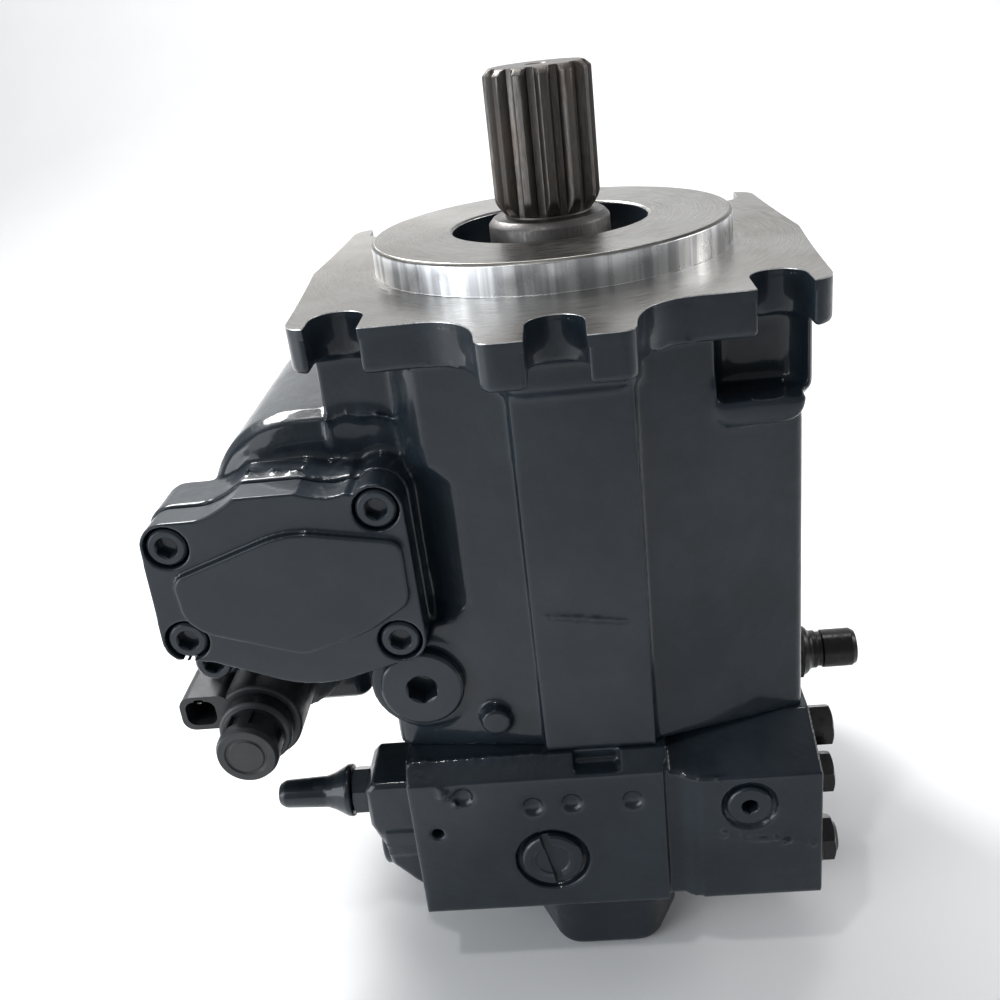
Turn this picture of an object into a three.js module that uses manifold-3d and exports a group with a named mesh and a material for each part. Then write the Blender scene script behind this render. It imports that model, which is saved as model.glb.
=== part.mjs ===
// Variable-displacement axial piston pump for a closed circuit, standing on its boost pump
// cover with the drive shaft up. Millimetres, +Z up. The origin is the middle of the flat
// underside of the boost pump cover; the drive shaft turns about the Z axis.
import * as THREE from 'three';
import { mergeVertices, toCreasedNormals } from 'three/addons/utils/BufferGeometryUtils.js';
import Module from 'manifold-3d';

const wasm = await Module();
wasm.setup();

// ---- levels along the shaft ---------------------------------------------------------------
const PLATE_BOTTOM = 41;
const SEAM = 118;
const FLANGE = 308;
const FLANGE_THICK = 17.5;
const PILOT_TOP = FLANGE + 12.7;
const SHAFT_TIP = FLANGE + 75;
const COLLAR_TOP = FLANGE + 16;
const PIVOT = 236;
const BEARING_BOTTOM = 280;
const BEARING_TOP = 298;

// ---- mounting flange, SAE 152-2/4 ---------------------------------------------------------
const PILOT_R = 76.2;
const PILOT_BORE_R = 41.5;
const FOUR_BOLT = 80.8;
const TWO_BOLT = 114.3;
const SLOT_R = 10.3;

// ---- rotating group -----------------------------------------------------------------------
const PISTONS = 9;
const PITCH_R = 46;
const PISTON_R = 11;
const BALL_R = 7.5;
const SOCKET_R = 8.1;
const FACE = 9;
const BLOCK_R = 62.5;
const BLOCK_BOTTOM = SEAM + 5.2;
const BLOCK_TOP = 208;
const NOSE_R = 24;
const CRADLE_R = 38;
const CAVITY_R = 69;
const RUN = 0.3;

// ---- stroking cylinder, axis along Y ------------------------------------------------------
const STROKE_X = -116;
const STROKE_Z = 206;
const STROKE_R = 24;
const COVER_BACK = -85;
const COVER_FRONT = -100;
const COVER_SCREWS = [[-158, 229], [-74, 238], [-73, 180], [-159, 187]];
const LUG_SCREW = [-157.5, 165.3];
const LUG_FACE = -76;
const DRAIN = [-68.7, 151.5];
const DRAIN_FACE = -88.5;

// ---- control valve under the stroking cylinder --------------------------------------------
const SPOOL_X = -140;
const SPOOL_Z = 132;
const SOLENOID = [-146, 130];
const LEVER_Z = 150;

// ---- boost pump ---------------------------------------------------------------------------
const ECCENTRIC = 2.6;
const INNER_TEETH = 6;

// ---- materials ----------------------------------------------------------------------------
const paint = (roughness) => new THREE.MeshStandardMaterial({ color: 0x2b323b, roughness, metalness: 0.1 });
const metal = (color, roughness) => new THREE.MeshStandardMaterial({ color, roughness, metalness: 1 });
const plain = (color, roughness) => new THREE.MeshStandardMaterial({ color, roughness, metalness: 0 });

// ---- geometry helpers ---------------------------------------------------------------------
const AXES = {
  x: new THREE.Matrix4().makeBasis(
    new THREE.Vector3(0, 1, 0), new THREE.Vector3(0, 0, 1), new THREE.Vector3(1, 0, 0)),
  y: new THREE.Matrix4().makeBasis(
    new THREE.Vector3(1, 0, 0), new THREE.Vector3(0, 0, 1), new THREE.Vector3(0, -1, 0)),
  z: new THREE.Matrix4(),
};

// A three.js geometry as a manifold solid facing out.
function solid(geometry) {
  const bare = geometry.clone();
  bare.deleteAttribute('normal');
  bare.deleteAttribute('uv');
  const merged = mergeVertices(bare, 1e-4);
  const vertProperties = new Float32Array(merged.attributes.position.array);
  const triVerts = new Uint32Array(merged.index.array);
  const body = new wasm.Manifold(new wasm.Mesh({ numProp: 3, vertProperties, triVerts }));
  if (body.volume() > 0) return body;
  for (let i = 0; i < triVerts.length; i += 3) {
    const first = triVerts[i];
    triVerts[i] = triVerts[i + 1];
    triVerts[i + 1] = first;
  }
  return new wasm.Manifold(new wasm.Mesh({ numProp: 3, vertProperties, triVerts }));
}

function box(x0, x1, y0, y1, z0, z1) {
  const geometry = new THREE.BoxGeometry(x1 - x0, y1 - y0, z1 - z0);
  geometry.translate((x0 + x1) / 2, (y0 + y1) / 2, (z0 + z1) / 2);
  return solid(geometry);
}

// Extrudes an outline drawn in the plane across an axis: (x, y) for z, (y, z) for x, (x, z)
// for y. The piece runs from a to b along that axis; edge rounds both ends inwards.
function extrude(shape, axis, a, b, edge = 0, steps = 1, curveSegments = 4) {
  const options = { depth: b - a - 2 * edge, curveSegments, bevelEnabled: edge > 0 };
  if (edge > 0) {
    options.bevelThickness = edge;
    options.bevelSize = edge;
    options.bevelOffset = -edge;
    options.bevelSegments = steps;
  }
  const geometry = new THREE.ExtrudeGeometry(shape, options);
  geometry.translate(0, 0, edge + (axis === 'y' ? -b : a));
  geometry.applyMatrix4(AXES[axis]);
  return solid(geometry);
}

// A round bar along an axis; (u, v) is its centre in the plane across that axis.
function rod(axis, radius, u, v, a, b, sides = 20) {
  const geometry = new THREE.CylinderGeometry(radius, radius, b - a, sides);
  geometry.rotateX(Math.PI / 2);
  geometry.translate(u, v, (axis === 'y' ? -1 : 1) * (a + b) / 2);
  geometry.applyMatrix4(AXES[axis]);
  return solid(geometry);
}

function cone(axis, radiusA, radiusB, u, v, a, b, sides = 20) {
  const geometry = new THREE.CylinderGeometry(radiusB, radiusA, b - a, sides);
  geometry.rotateX(Math.PI / 2);
  if (axis === 'y') geometry.rotateX(Math.PI);
  geometry.translate(u, v, (axis === 'y' ? -1 : 1) * (a + b) / 2);
  geometry.applyMatrix4(AXES[axis]);
  return solid(geometry);
}

// Turns a closed profile of (radius, height) points about the Z axis.
function turned(points, sides = 32) {
  const profile = points.map(([r, h]) => new THREE.Vector2(r, h));
  const geometry = new THREE.LatheGeometry(profile, sides);
  geometry.rotateX(Math.PI / 2);
  return solid(geometry);
}

function ring(inner, outer, bottom, top, sides = 24) {
  return turned([[inner, bottom], [outer, bottom], [outer, top], [inner, top], [inner, bottom]], sides);
}

const union = (parts) => parts.reduce((sum, part) => sum.add(part));
const cut = (body, tools) => tools.reduce((rest, tool) => rest.subtract(tool), body);

function outline(points) {
  const shape = new THREE.Shape();
  points.forEach(([x, y], i) => (i ? shape.lineTo(x, y) : shape.moveTo(x, y)));
  shape.closePath();
  return shape;
}

function roundedRect(x0, x1, y0, y1, r) {
  const shape = new THREE.Shape();
  shape.absarc(x1 - r, y0 + r, r, -Math.PI / 2, 0);
  shape.absarc(x1 - r, y1 - r, r, 0, Math.PI / 2);
  shape.absarc(x0 + r, y1 - r, r, Math.PI / 2, Math.PI);
  shape.absarc(x0 + r, y0 + r, r, Math.PI, 1.5 * Math.PI);
  shape.closePath();
  return shape;
}

function circle(radius, u = 0, v = 0) {
  const shape = new THREE.Shape();
  shape.absarc(u, v, radius, 0, 2 * Math.PI);
  return shape;
}

function hexagon(acrossFlats, u = 0, v = 0) {
  const corner = acrossFlats / Math.sqrt(3);
  return outline([0, 1, 2, 3, 4, 5].map((i) => {
    const angle = (i * Math.PI) / 3;
    return [u + corner * Math.cos(angle), v + corner * Math.sin(angle)];
  }));
}

// A curved slot: part of a ring between two angles.
function sector(inner, outer, from, to) {
  const shape = new THREE.Shape();
  shape.absarc(0, 0, outer, from, to, false);
  shape.absarc(0, 0, inner, to, from, true);
  shape.closePath();
  return shape;
}

// A ring whose inner and outer edges carry evenly spaced flats and tips.
function toothed(count, root, tip, share) {
  const points = [];
  for (let i = 0; i < count; i += 1) {
    const pitch = (2 * Math.PI) / count;
    const half = (pitch * share) / 2;
    const angle = i * pitch;
    points.push([root, angle - half * 1.25]);
    points.push([tip, angle - half * 0.75]);
    points.push([tip, angle + half * 0.75]);
    points.push([root, angle + half * 1.25]);
  }
  return points.map(([r, a]) => [r * Math.cos(a), r * Math.sin(a)]);
}

const group = new THREE.Group();
group.name = 'axial_piston_pump';

function place(name, body, material, parent = group, position = [0, 0, 0]) {
  const data = body.simplify(0.05).getMesh();
  const geometry = new THREE.BufferGeometry();
  const stride = data.numProp;
  const positions = new Float32Array((data.vertProperties.length / stride) * 3);
  for (let i = 0; i < positions.length / 3; i += 1) {
    positions.set(data.vertProperties.subarray(i * stride, i * stride + 3), i * 3);
  }
  geometry.setAttribute('position', new THREE.BufferAttribute(positions, 3));
  geometry.setIndex(new THREE.BufferAttribute(new Uint32Array(data.triVerts), 1));
  const mesh = new THREE.Mesh(toCreasedNormals(geometry, 0.6), material);
  mesh.name = name;
  mesh.position.set(...position);
  parent.add(mesh);
  return mesh;
}

// ---- housing ------------------------------------------------------------------------------
function flangeOutline() {
  const quarter = new THREE.Shape();
  quarter.moveTo(0, 132.5);
  quarter.lineTo(20, 132.5);
  quarter.quadraticCurveTo(27, 132.5, 27, 125);
  quarter.bezierCurveTo(28, 108, 36, 97.5, 50, 97.5);
  quarter.lineTo(69, 97.5);
  quarter.quadraticCurveTo(75, 97, 78, 92);
  quarter.lineTo(90, 92);
  quarter.quadraticCurveTo(98.5, 91.5, 99.5, 82);
  quarter.quadraticCurveTo(101, 42, 104.6, 0);
  const points = quarter.getPoints(4);
  const back = points.map((p) => [p.x, p.y]);
  const front = back.slice(0, -1).reverse().map(([x, y]) => [x, -y]);
  const right = back.concat(front);
  const left = right.slice(1, -1).reverse().map(([x, y]) => [-x, y]);
  return outline(right.concat(left));
}

function flangeSlots() {
  const slots = [];
  for (const side of [-1, 1]) {
    slots.push(rod('z', SLOT_R, 0, side * TWO_BOLT, 285, FLANGE + 5, 16));
    const edge = [side * TWO_BOLT, side * (TWO_BOLT + 30)].sort((a, b) => a - b);
    slots.push(box(-SLOT_R, SLOT_R, edge[0], edge[1], 285, FLANGE + 5));
    for (const hand of [-1, 1]) {
      slots.push(rod('z', SLOT_R, hand * FOUR_BOLT, side * FOUR_BOLT, 285, FLANGE + 5, 16));
      const open = [side * FOUR_BOLT, side * (FOUR_BOLT + 30)].sort((a, b) => a - b);
      slots.push(box(hand * FOUR_BOLT - SLOT_R, hand * FOUR_BOLT + SLOT_R, open[0], open[1], 285, FLANGE + 5));
    }
  }
  return slots;
}

// Room below a four-bolt slot for a bolt head; the front left slot has the shoulder's.
function boltReliefs() {
  const reliefs = [];
  for (const [hand, side, floor] of [[1, -1, 263], [1, 1, 263], [-1, 1, 270]]) {
    const [x0, x1] = [hand * 57, hand * 92.5].sort((a, b) => a - b);
    const [y0, y1] = [side * 63, side * 98].sort((a, b) => a - b);
    reliefs.push(extrude(roundedRect(x0, x1, y0, y1, 11), 'z', floor, FLANGE - FLANGE_THICK, 0, 1, 4));
  }
  return reliefs;
}

function bodyOutline() {
  const shape = new THREE.Shape();
  shape.moveTo(-20, -92);
  shape.lineTo(-20, -96.5);
  shape.lineTo(26, -97);
  shape.lineTo(27, -93);
  shape.lineTo(88, -76);
  shape.quadraticCurveTo(91, -75, 91, -72);
  shape.lineTo(91, 72);
  shape.quadraticCurveTo(91, 75, 88, 76);
  shape.lineTo(27, 93);
  shape.lineTo(-40, 93);
  shape.lineTo(-78, 86);
  shape.quadraticCurveTo(-84, 85, -84, 79);
  shape.lineTo(-84, -79);
  shape.quadraticCurveTo(-84, -84, -78, -85.5);
  shape.closePath();
  return shape;
}

function humpOutline() {
  const shape = new THREE.Shape();
  shape.moveTo(-50, 165);
  shape.lineTo(-50, 266);
  shape.lineTo(-108, 266);
  shape.absarc(-108, 223, 43, Math.PI / 2, Math.PI, false);
  shape.lineTo(-151, 195);
  shape.quadraticCurveTo(-151, 165, -121, 165);
  shape.closePath();
  return shape;
}

function coverOutline(grow) {
  const r = 10.5 + grow;
  const [tl, tr, br, bl] = COVER_SCREWS;
  const shape = new THREE.Shape();
  shape.absarc(tl[0], tl[1], r, Math.PI, Math.PI / 2, true);
  shape.lineTo(-147, tl[1] + r);
  shape.quadraticCurveTo(-139, tl[1] + r, -128, 247.5 + grow);
  shape.lineTo(-104, 247.5 + grow);
  shape.quadraticCurveTo(-92, 243 + 2 * grow, -85, 246 + grow);
  shape.absarc(tr[0], tr[1], r, 2.4, 0, true);
  shape.absarc(br[0], br[1], r, 0, -1.75, true);
  shape.lineTo(-97, 163.5 - grow);
  shape.quadraticCurveTo(-112, 160.5 - grow, -126, 166 - grow);
  shape.lineTo(-150, 176 - grow);
  shape.absarc(bl[0], bl[1], r, -2.2, -Math.PI, true);
  shape.closePath();
  return shape;
}

function housingCastings() {
  return union([
    extrude(flangeOutline(), 'z', FLANGE - FLANGE_THICK, FLANGE),
    turned([[0, FLANGE - 2], [PILOT_R, FLANGE - 2], [PILOT_R, PILOT_TOP - 1.2],
      [PILOT_R - 1.2, PILOT_TOP], [0, PILOT_TOP]], 64),
    extrude(bodyOutline(), 'z', SEAM, FLANGE - 8),
    extrude(roundedRect(-95, -40, -78, 78, 14), 'z', 246, FLANGE - 8, 6),
    extrude(roundedRect(40, 95.5, -78, 78, 10), 'z', 257, FLANGE - 8, 5, 1, 3),
    extrude(roundedRect(-24, 30, -100, 100, 10), 'z', 272, FLANGE - 8, 7, 1, 3),
    extrude(humpOutline(), 'y', -66, 64, 10, 2, 7),
    extrude(coverOutline(1), 'y', COVER_BACK, -60, 0, 1, 3),
    rod('y', 11.5, LUG_SCREW[0], LUG_SCREW[1], LUG_FACE, -62),
    box(-169, -146, LUG_FACE, -62, LUG_SCREW[1], 190),
    rod('y', 31, STROKE_X, STROKE_Z, 50, 84, 24),
    cut(cone('y', 22, 24, ...DRAIN, DRAIN_FACE, -78, 28), [extrude(coverOutline(2), 'y', -110, COVER_BACK)]),
    cone('y', 6, 7.2, -39.5, 134, -96, -88, 20),
    extrude(roundedRect(55, 90, 253, 275, 8), 'y', -86.5, -60, 1.5, 1, 3),
  ]);
}

// Takes the body's front left corner back to the wall beside the stroking cylinder: widely
// next to the cover, for its screws, and less above it.
function shoulderCut() {
  const scoop = (reach, depth, bottom, top, edge) => {
    const shape = new THREE.Shape();
    shape.moveTo(-140, -140);
    shape.lineTo(-140, -69);
    shape.lineTo(-66, -69);
    shape.bezierCurveTo(-62, -80, (reach - 66) / 2, depth + 4, reach, depth);
    shape.lineTo(reach, -140);
    shape.closePath();
    return extrude(shape, 'z', bottom, top, edge, 2, 8);
  };
  return cut(union([
    scoop(-34, -92.5, 178, 250, 9),
    scoop(-50, -91, 230, FLANGE - FLANGE_THICK, 0),
  ]), [
    extrude(coverOutline(1), 'y', COVER_BACK, -60, 0, 1, 3),
    extrude(humpOutline(), 'y', -66, 0, 10, 2, 7),
  ]);
}

function housingCavities() {
  const tools = [
    ...flangeSlots(),
    ...boltReliefs(),
    rod('z', PILOT_BORE_R, 0, 0, BEARING_TOP, PILOT_TOP + 1, 40),
    rod('z', 38.2, 0, 0, BEARING_BOTTOM, BEARING_TOP + 1, 32),
    rod('z', 36, 0, 0, 270, BEARING_BOTTOM + 1, 32),
    rod('z', CAVITY_R, 0, 0, SEAM - 1, 262, 32),
    cut(rod('z', 68, 0, 0, 205, 273, 32), [
      box(-55, -29, -29.5, 29.5, 262, 274), box(29, 55, -29.5, 29.5, 262, 274)]),
    rod('x', CRADLE_R + 2.9, 0, PIVOT, -55.4, -28.6, 32),
    rod('x', CRADLE_R + 2.9, 0, PIVOT, 28.6, 55.4, 32),
    box(-80, -60, -27, 27, 190, 262),
    box(-100, -78, -20, 20, STROKE_Z - 12, STROKE_Z + 12),
    rod('y', STROKE_R + 0.25, STROKE_X, STROKE_Z, COVER_BACK - 1, 60, 32),
    box(-135.5, -125.5, -14, 14, 150, 190),
    shoulderCut(),
    extrude(coverOutline(1), 'y', -110, COVER_BACK, 0, 1, 3),
    rod('y', 13.4, ...DRAIN, -100, -72),
    rod('y', 7, ...DRAIN, -73, -10, 12),
  ];
  for (const [x, z] of COVER_SCREWS) tools.push(rod('y', 5.4, x, z, COVER_BACK - 1, -63, 10));
  tools.push(rod('y', 5.4, LUG_SCREW[0], LUG_SCREW[1], COVER_BACK - 1, -61, 10));
  return tools;
}

// ---- port plate ---------------------------------------------------------------------------
const PLATE_LEFT = -80;
const PLATE_RIGHT = 93.5;
const PLATE_FRONT = -105.5;
const PORTS = [-38, 38];
const PORT_Z = 79;
const SLOTTED_PLUG = [-21.8, 67.3];
const SOCKET_PLUG = [63.2, 90];

function plateCasting() {
  const bottom = PLATE_BOTTOM;
  const section = (top, shoulder) => outline([[PLATE_FRONT, bottom], [105.5, bottom], [105.5, top],
    [shoulder, SEAM], [-shoulder, SEAM], [PLATE_FRONT, top]]);
  const valley = cut(box(28, 43, PLATE_FRONT - 1, PLATE_FRONT + 4, bottom - 1, SEAM + 1),
    [rod('z', 13, 43, PLATE_FRONT + 13.8, bottom - 2, SEAM + 2, 32)]);
  return cut(union([
    extrude(section(111, 98), 'x', PLATE_LEFT, 30),
    extrude(section(105, 77), 'x', 29, PLATE_RIGHT),
    extrude(outline([[-79, 105], [-97.5, 105], [-101, 101.5], [-101, 82], [-97, 72], [-95, 60],
      [-86, 50], [-79, 44]]), 'y', -95, -63, 2),
    rod('x', 19, -78, 73, -95, -79),
    rod('x', 16, -5, 100, PLATE_RIGHT - 1, PLATE_RIGHT + 3),
  ]), [valley, box(-9, 10.5, PLATE_FRONT - 1, -96, 111.5, SEAM + 1)]);
}

function plateCavities() {
  const tools = [
    rod('z', 16, 0, 0, PLATE_BOTTOM - 1, 91),
    rod('z', 26.5, 0, 0, 90, SEAM + 1, 24),
    rod('x', 4.4, -79, 91, -102, -60, 16),
    rod('x', 10.4, -78, 66, -96, -70, 24),
    rod('x', 15.2, -78, 66, -103, -95, 28),
    rod('y', 16, ...SLOTTED_PLUG, PLATE_FRONT - 1, PLATE_FRONT + 3.4, 32),
    rod('y', 12, ...SLOTTED_PLUG, PLATE_FRONT, PLATE_FRONT + 22, 20),
    rod('y', 12, ...SOCKET_PLUG, PLATE_FRONT - 3, PLATE_FRONT + 2.2, 28),
    rod('y', 8.2, ...SOCKET_PLUG, PLATE_FRONT, PLATE_FRONT + 20, 16),
    cone('y', 2.8, 2.4, -69.8, 85, PLATE_FRONT - 1, PLATE_FRONT + 9, 14),
    rod('x', 9.4, -5, 100, 78, 102, 24),
    rod('x', 7.3, -50, 88, 76, PLATE_RIGHT + 1, 24),
    rod('x', 7.3, -66, 74, 76, PLATE_RIGHT + 1, 24),
    rod('x', 8.3, -86, 54, 76, PLATE_RIGHT + 1, 24),
  ];
  for (const [x, z] of [[-56.6, 104], [-27.6, 96.9], [-11, 97.7], [14.6, 97.3]]) {
    tools.push(cone('y', 5, 3.4, x, z, PLATE_FRONT - 0.1, PLATE_FRONT + 2.2, 12));
  }
  const kidney = 1.1;
  for (const [x, turn] of [[PORTS[0], Math.PI], [PORTS[1], 0]]) {
    tools.push(rod('y', 13, x, PORT_Z, 20, 106, 16));
    tools.push(extrude(sector(PITCH_R - 5.5, PITCH_R + 5.5, turn - kidney, turn + kidney), 'z', 84, SEAM + 1));
    for (const [dx, dz] of [[-26.2, -13.1], [26.2, -13.1], [-26.2, 13.1], [26.2, 13.1]]) {
      tools.push(rod('y', 5, x + dx * 0.62, PORT_Z + dz * 1.7, 88, 106, 6));
    }
  }
  return tools;
}

// ---- boost pump cover ---------------------------------------------------------------------
// A round middle with a blunt lobe towards the front and the back.
function boostCoverOutline() {
  const flank = 0.87;
  const lobe = [[32.5, 66], [24, 84], [12, 91]];
  const shape = new THREE.Shape();
  for (const side of [1, -1]) {
    const start = side > 0 ? -flank : Math.PI - flank;
    shape.absarc(0, 0, 54, start, start + 2 * flank, false);
    shape.lineTo(side * lobe[0][0], side * lobe[0][1]);
    shape.lineTo(side * lobe[1][0], side * lobe[1][1]);
    shape.quadraticCurveTo(side * 20, side * 91, side * lobe[2][0], side * lobe[2][1]);
    shape.lineTo(-side * lobe[2][0], side * lobe[2][1]);
    shape.quadraticCurveTo(-side * 20, side * 91, -side * lobe[1][0], side * lobe[1][1]);
    shape.lineTo(-side * lobe[0][0], side * lobe[0][1]);
  }
  shape.closePath();
  return shape;
}

function boostCover() {
  return cut(extrude(boostCoverOutline(), 'z', 0, PLATE_BOTTOM, 3.5, 1, 5), [
    rod('z', 33.5, 0, ECCENTRIC, 18, PLATE_BOTTOM + 1, 32),
    rod('z', 12, 0, 0, 12, 20),
    rod('y', 10.5, 0, 29, 20, 93, 24),
  ]);
}

// Inner rotor of the boost pump: the curve that stays in touch with the ring's lobes.
function innerRotorOutline(lobeAt, lobeR) {
  const lobes = INNER_TEETH + 1;
  const points = [];
  for (let i = 0; i < 48; i += 1) {
    const t = (i * 2 * Math.PI) / 48;
    const swing = (1 - lobes) * t;
    const lean = Math.atan2(Math.sin(swing), lobeAt / (ECCENTRIC * lobes) - Math.cos(swing));
    points.push([
      lobeAt * Math.cos(t) - lobeR * Math.cos(t + lean) - ECCENTRIC * Math.cos(lobes * t),
      -lobeAt * Math.sin(t) + lobeR * Math.sin(t + lean) + ECCENTRIC * Math.sin(lobes * t),
    ]);
  }
  return outline(points.reverse());
}

function placeBoostPump() {
  const lobeAt = 27;
  const lobeR = 6.5;
  const bottom = 18 + RUN;
  const top = PLATE_BOTTOM - RUN;
  // The curve is drawn about the ring's centre with a lobe on +X, so the rotor is turned to
  // put its deepest mesh on the side away from the ring's offset.
  const inner = extrude(innerRotorOutline(lobeAt, lobeR + 0.6), 'z', bottom, top);
  const bore = extrude(outline(toothed(6, 10.8, 12.2, 0.5)), 'z', bottom - 1, top + 1);
  const turn = 270;
  place('boost_inner_gear', inner.rotate([0, 0, turn]).subtract(bore), metal(0x6e7276, 0.35));
  let outer = rod('z', 33, 0, 0, bottom, top, 32);
  outer = outer.subtract(rod('z', 25.8, 0, 0, bottom - 1, top + 1, 28));
  const lobes = [];
  for (let i = 0; i <= INNER_TEETH; i += 1) {
    const a = (i * 2 * Math.PI) / (INNER_TEETH + 1) - Math.PI / 2;
    lobes.push(rod('z', lobeR, lobeAt * Math.cos(a), lobeAt * Math.sin(a), bottom, top, 16));
  }
  outer = union([outer, ...lobes]).intersect(rod('z', 33, 0, 0, bottom, top, 32));
  place('boost_ring_gear', outer, metal(0x75797d, 0.35), group, [0, ECCENTRIC, 0]);
  place('boost_pump_cover', boostCover(), paint(0.42));
}

// ---- drive shaft --------------------------------------------------------------------------
function driveShaft() {
  const core = turned([
    [0, 15], [10.5, 15], [10.5, 44], [15, 44], [15, 90], [18, 90], [18, 116], [17.5, 116],
    [17.5, 209], [19, 209], [19, 262], [29, 268], [29, 279.7], [26, 279.7], [26, 298], [25.7, 298],
    [25.7, COLLAR_TOP - 2.5], [23.5, COLLAR_TOP], [18.6, COLLAR_TOP + 1.5], [18.6, SHAFT_TIP - 1],
    [18, SHAFT_TIP], [0, SHAFT_TIP]], 20);
  const coupling = extrude(outline(toothed(13, 18.4, 22.22, 0.5)), 'z', COLLAR_TOP + 2, SHAFT_TIP);
  const envelope = turned([[0, COLLAR_TOP], [18.2, COLLAR_TOP + 1], [22.4, COLLAR_TOP + 9],
    [22.4, SHAFT_TIP - 2.5], [19.6, SHAFT_TIP + 0.1], [0, SHAFT_TIP + 0.1]], 26);
  const blockSpline = extrude(outline(toothed(8, 17.3, 19.2, 0.5)), 'z', 156, 206);
  const gearSpline = extrude(outline(toothed(6, 10.3, 11.8, 0.5)), 'z', 16, 42);
  const body = union([core, coupling.intersect(envelope), blockSpline, gearSpline]);
  return body.subtract(cone('z', 0.5, 4, 0, 0, SHAFT_TIP - 5, SHAFT_TIP + 0.1, 20));
}

function rollerRing(inner, outer, count, bottom, top) {
  const gap = (outer - inner) * 0.18;
  const wave = (base, out) => {
    const points = [];
    for (let i = 0; i < count; i += 1) {
      for (const [part, lift] of [[-0.24, 0], [-0.1, 1], [0.1, 1], [0.24, 0]]) {
        const angle = ((i + part) * 2 * Math.PI) / count;
        const radius = base + out * gap * lift;
        points.push([radius * Math.cos(angle), radius * Math.sin(angle)]);
      }
    }
    return points;
  };
  const shape = outline(wave(outer - gap, 1));
  shape.holes.push(outline(wave(inner + gap, -1)));
  return extrude(shape, 'z', bottom, top);
}

function placeShaftGroup() {
  place('drive_shaft', driveShaft(), metal(0x8a8681, 0.32));
  place('shaft_seal', ring(26.3, PILOT_BORE_R - 0.5, 299, 307, 24), plain(0x1d1d1f, 0.7));
  place('front_bearing_cup', ring(35, 37.8, BEARING_BOTTOM + 0.2, BEARING_TOP - 0.2), metal(0x9a9da0, 0.25));
  place('front_bearing_rollers', rollerRing(30.8, 34.4, 14, BEARING_BOTTOM + 2, BEARING_TOP - 2),
    metal(0xa4a7aa, 0.22));
  place('front_bearing_cone', ring(26.7, 30.4, BEARING_BOTTOM, BEARING_TOP - 0.2), metal(0x9a9da0, 0.25));
  place('rear_bearing_cup', ring(22.6, 26.2, 90.3, 112, 24), metal(0x9a9da0, 0.25));
  place('rear_bearing_rollers', rollerRing(18.4, 22.1, 11, 92, 110), metal(0xa4a7aa, 0.22));
}

// ---- rotating group -----------------------------------------------------------------------
function cylinderBlock() {
  const nose = [];
  for (let i = 0; i <= 4; i += 1) {
    const h = -6 + (18 * i) / 4;
    nose.push([Math.sqrt(NOSE_R * NOSE_R - h * h), PIVOT + h]);
  }
  const body = turned([[0, BLOCK_BOTTOM], [BLOCK_R, BLOCK_BOTTOM],
    [BLOCK_R, BLOCK_TOP], [22.5, BLOCK_TOP], ...nose, [0, PIVOT + 12]], 28);
  const tools = [
    extrude(outline(toothed(8, 17.7, 19.6, 0.5)), 'z', 155, 207, 0, 1, 2),
    rod('z', 19.4, 0, 0, 206.5, PIVOT + 14, 28),
    rod('z', 29, 0, 0, BLOCK_BOTTOM - 1, 156, 28),
  ];
  for (let i = 0; i < PISTONS; i += 1) {
    const a = (i * 2 * Math.PI) / PISTONS + Math.PI / 2;
    const [x, y] = [PITCH_R * Math.cos(a), PITCH_R * Math.sin(a)];
    tools.push(rod('z', PISTON_R + 0.7, x, y, 143, BLOCK_TOP + 1, 12));
    tools.push(rod('z', 6, x, y, BLOCK_BOTTOM - 1, 144, 6));
  }
  return cut(body, tools);
}

// Ball centre at the origin, body hanging down.
function pistonBody() {
  const ball = [[0, BALL_R]];
  for (let i = 1; i <= 4; i += 1) {
    const a = Math.PI / 2 - (i * 2.43) / 4;
    ball.push([BALL_R * Math.cos(a), BALL_R * Math.sin(a)]);
  }
  return turned([...ball, [4.8, -9], [PISTON_R, -13], [PISTON_R, -76], [0, -76]], 12);
}

function slipperBody() {
  const socket = [];
  const lip = -Math.asin(3.5 / SOCKET_R);
  for (let i = 0; i < 4; i += 1) {
    const a = lip + (i * (Math.PI / 2 - lip)) / 4;
    socket.push([SOCKET_R * Math.cos(a), SOCKET_R * Math.sin(a)]);
  }
  return turned([[0, FACE - RUN], [14, FACE - RUN], [14, 5.5], [9.6, 5.5], [9.6, -3.5],
    ...socket, [0, SOCKET_R]], 12);
}

function swashPlate() {
  const parts = [
    rod('z', 62, 0, 0, FACE, 17, 40),
    box(-76, -58, -9, 9, FACE, 17),
    box(-76, -68, -9, 9, STROKE_Z - PIVOT - 8, 17),
    rod('x', 7, 0, STROKE_Z - PIVOT, -112, -70, 20),
  ];
  for (const side of [-1, 1]) {
    const [a, b] = side < 0 ? [-53, -31] : [31, 53];
    parts.push(rod('x', CRADLE_R, 0, 0, a, b, 40).intersect(box(a - 1, b + 1, -50, 50, 16, 50)));
  }
  return union(parts).subtract(rod('z', 30, 0, 0, 0, 50, 32));
}

function retainingPlate() {
  const inner = [];
  for (let i = 0; i <= 1; i += 1) {
    const h = 2 + 2.8 * i;
    inner.push([Math.sqrt((NOSE_R + 0.35) ** 2 - h * h), h]);
  }
  const disc = turned([[60, 2], [60, 4.8], ...inner.reverse(), [60, 2]], 28);
  const holes = [];
  for (let i = 0; i < PISTONS; i += 1) {
    const a = (i * 2 * Math.PI) / PISTONS + Math.PI / 2;
    holes.push(rod('z', 12.5, PITCH_R * Math.cos(a), PITCH_R * Math.sin(a), 0, 8, 12));
  }
  return cut(disc, holes);
}

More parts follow.
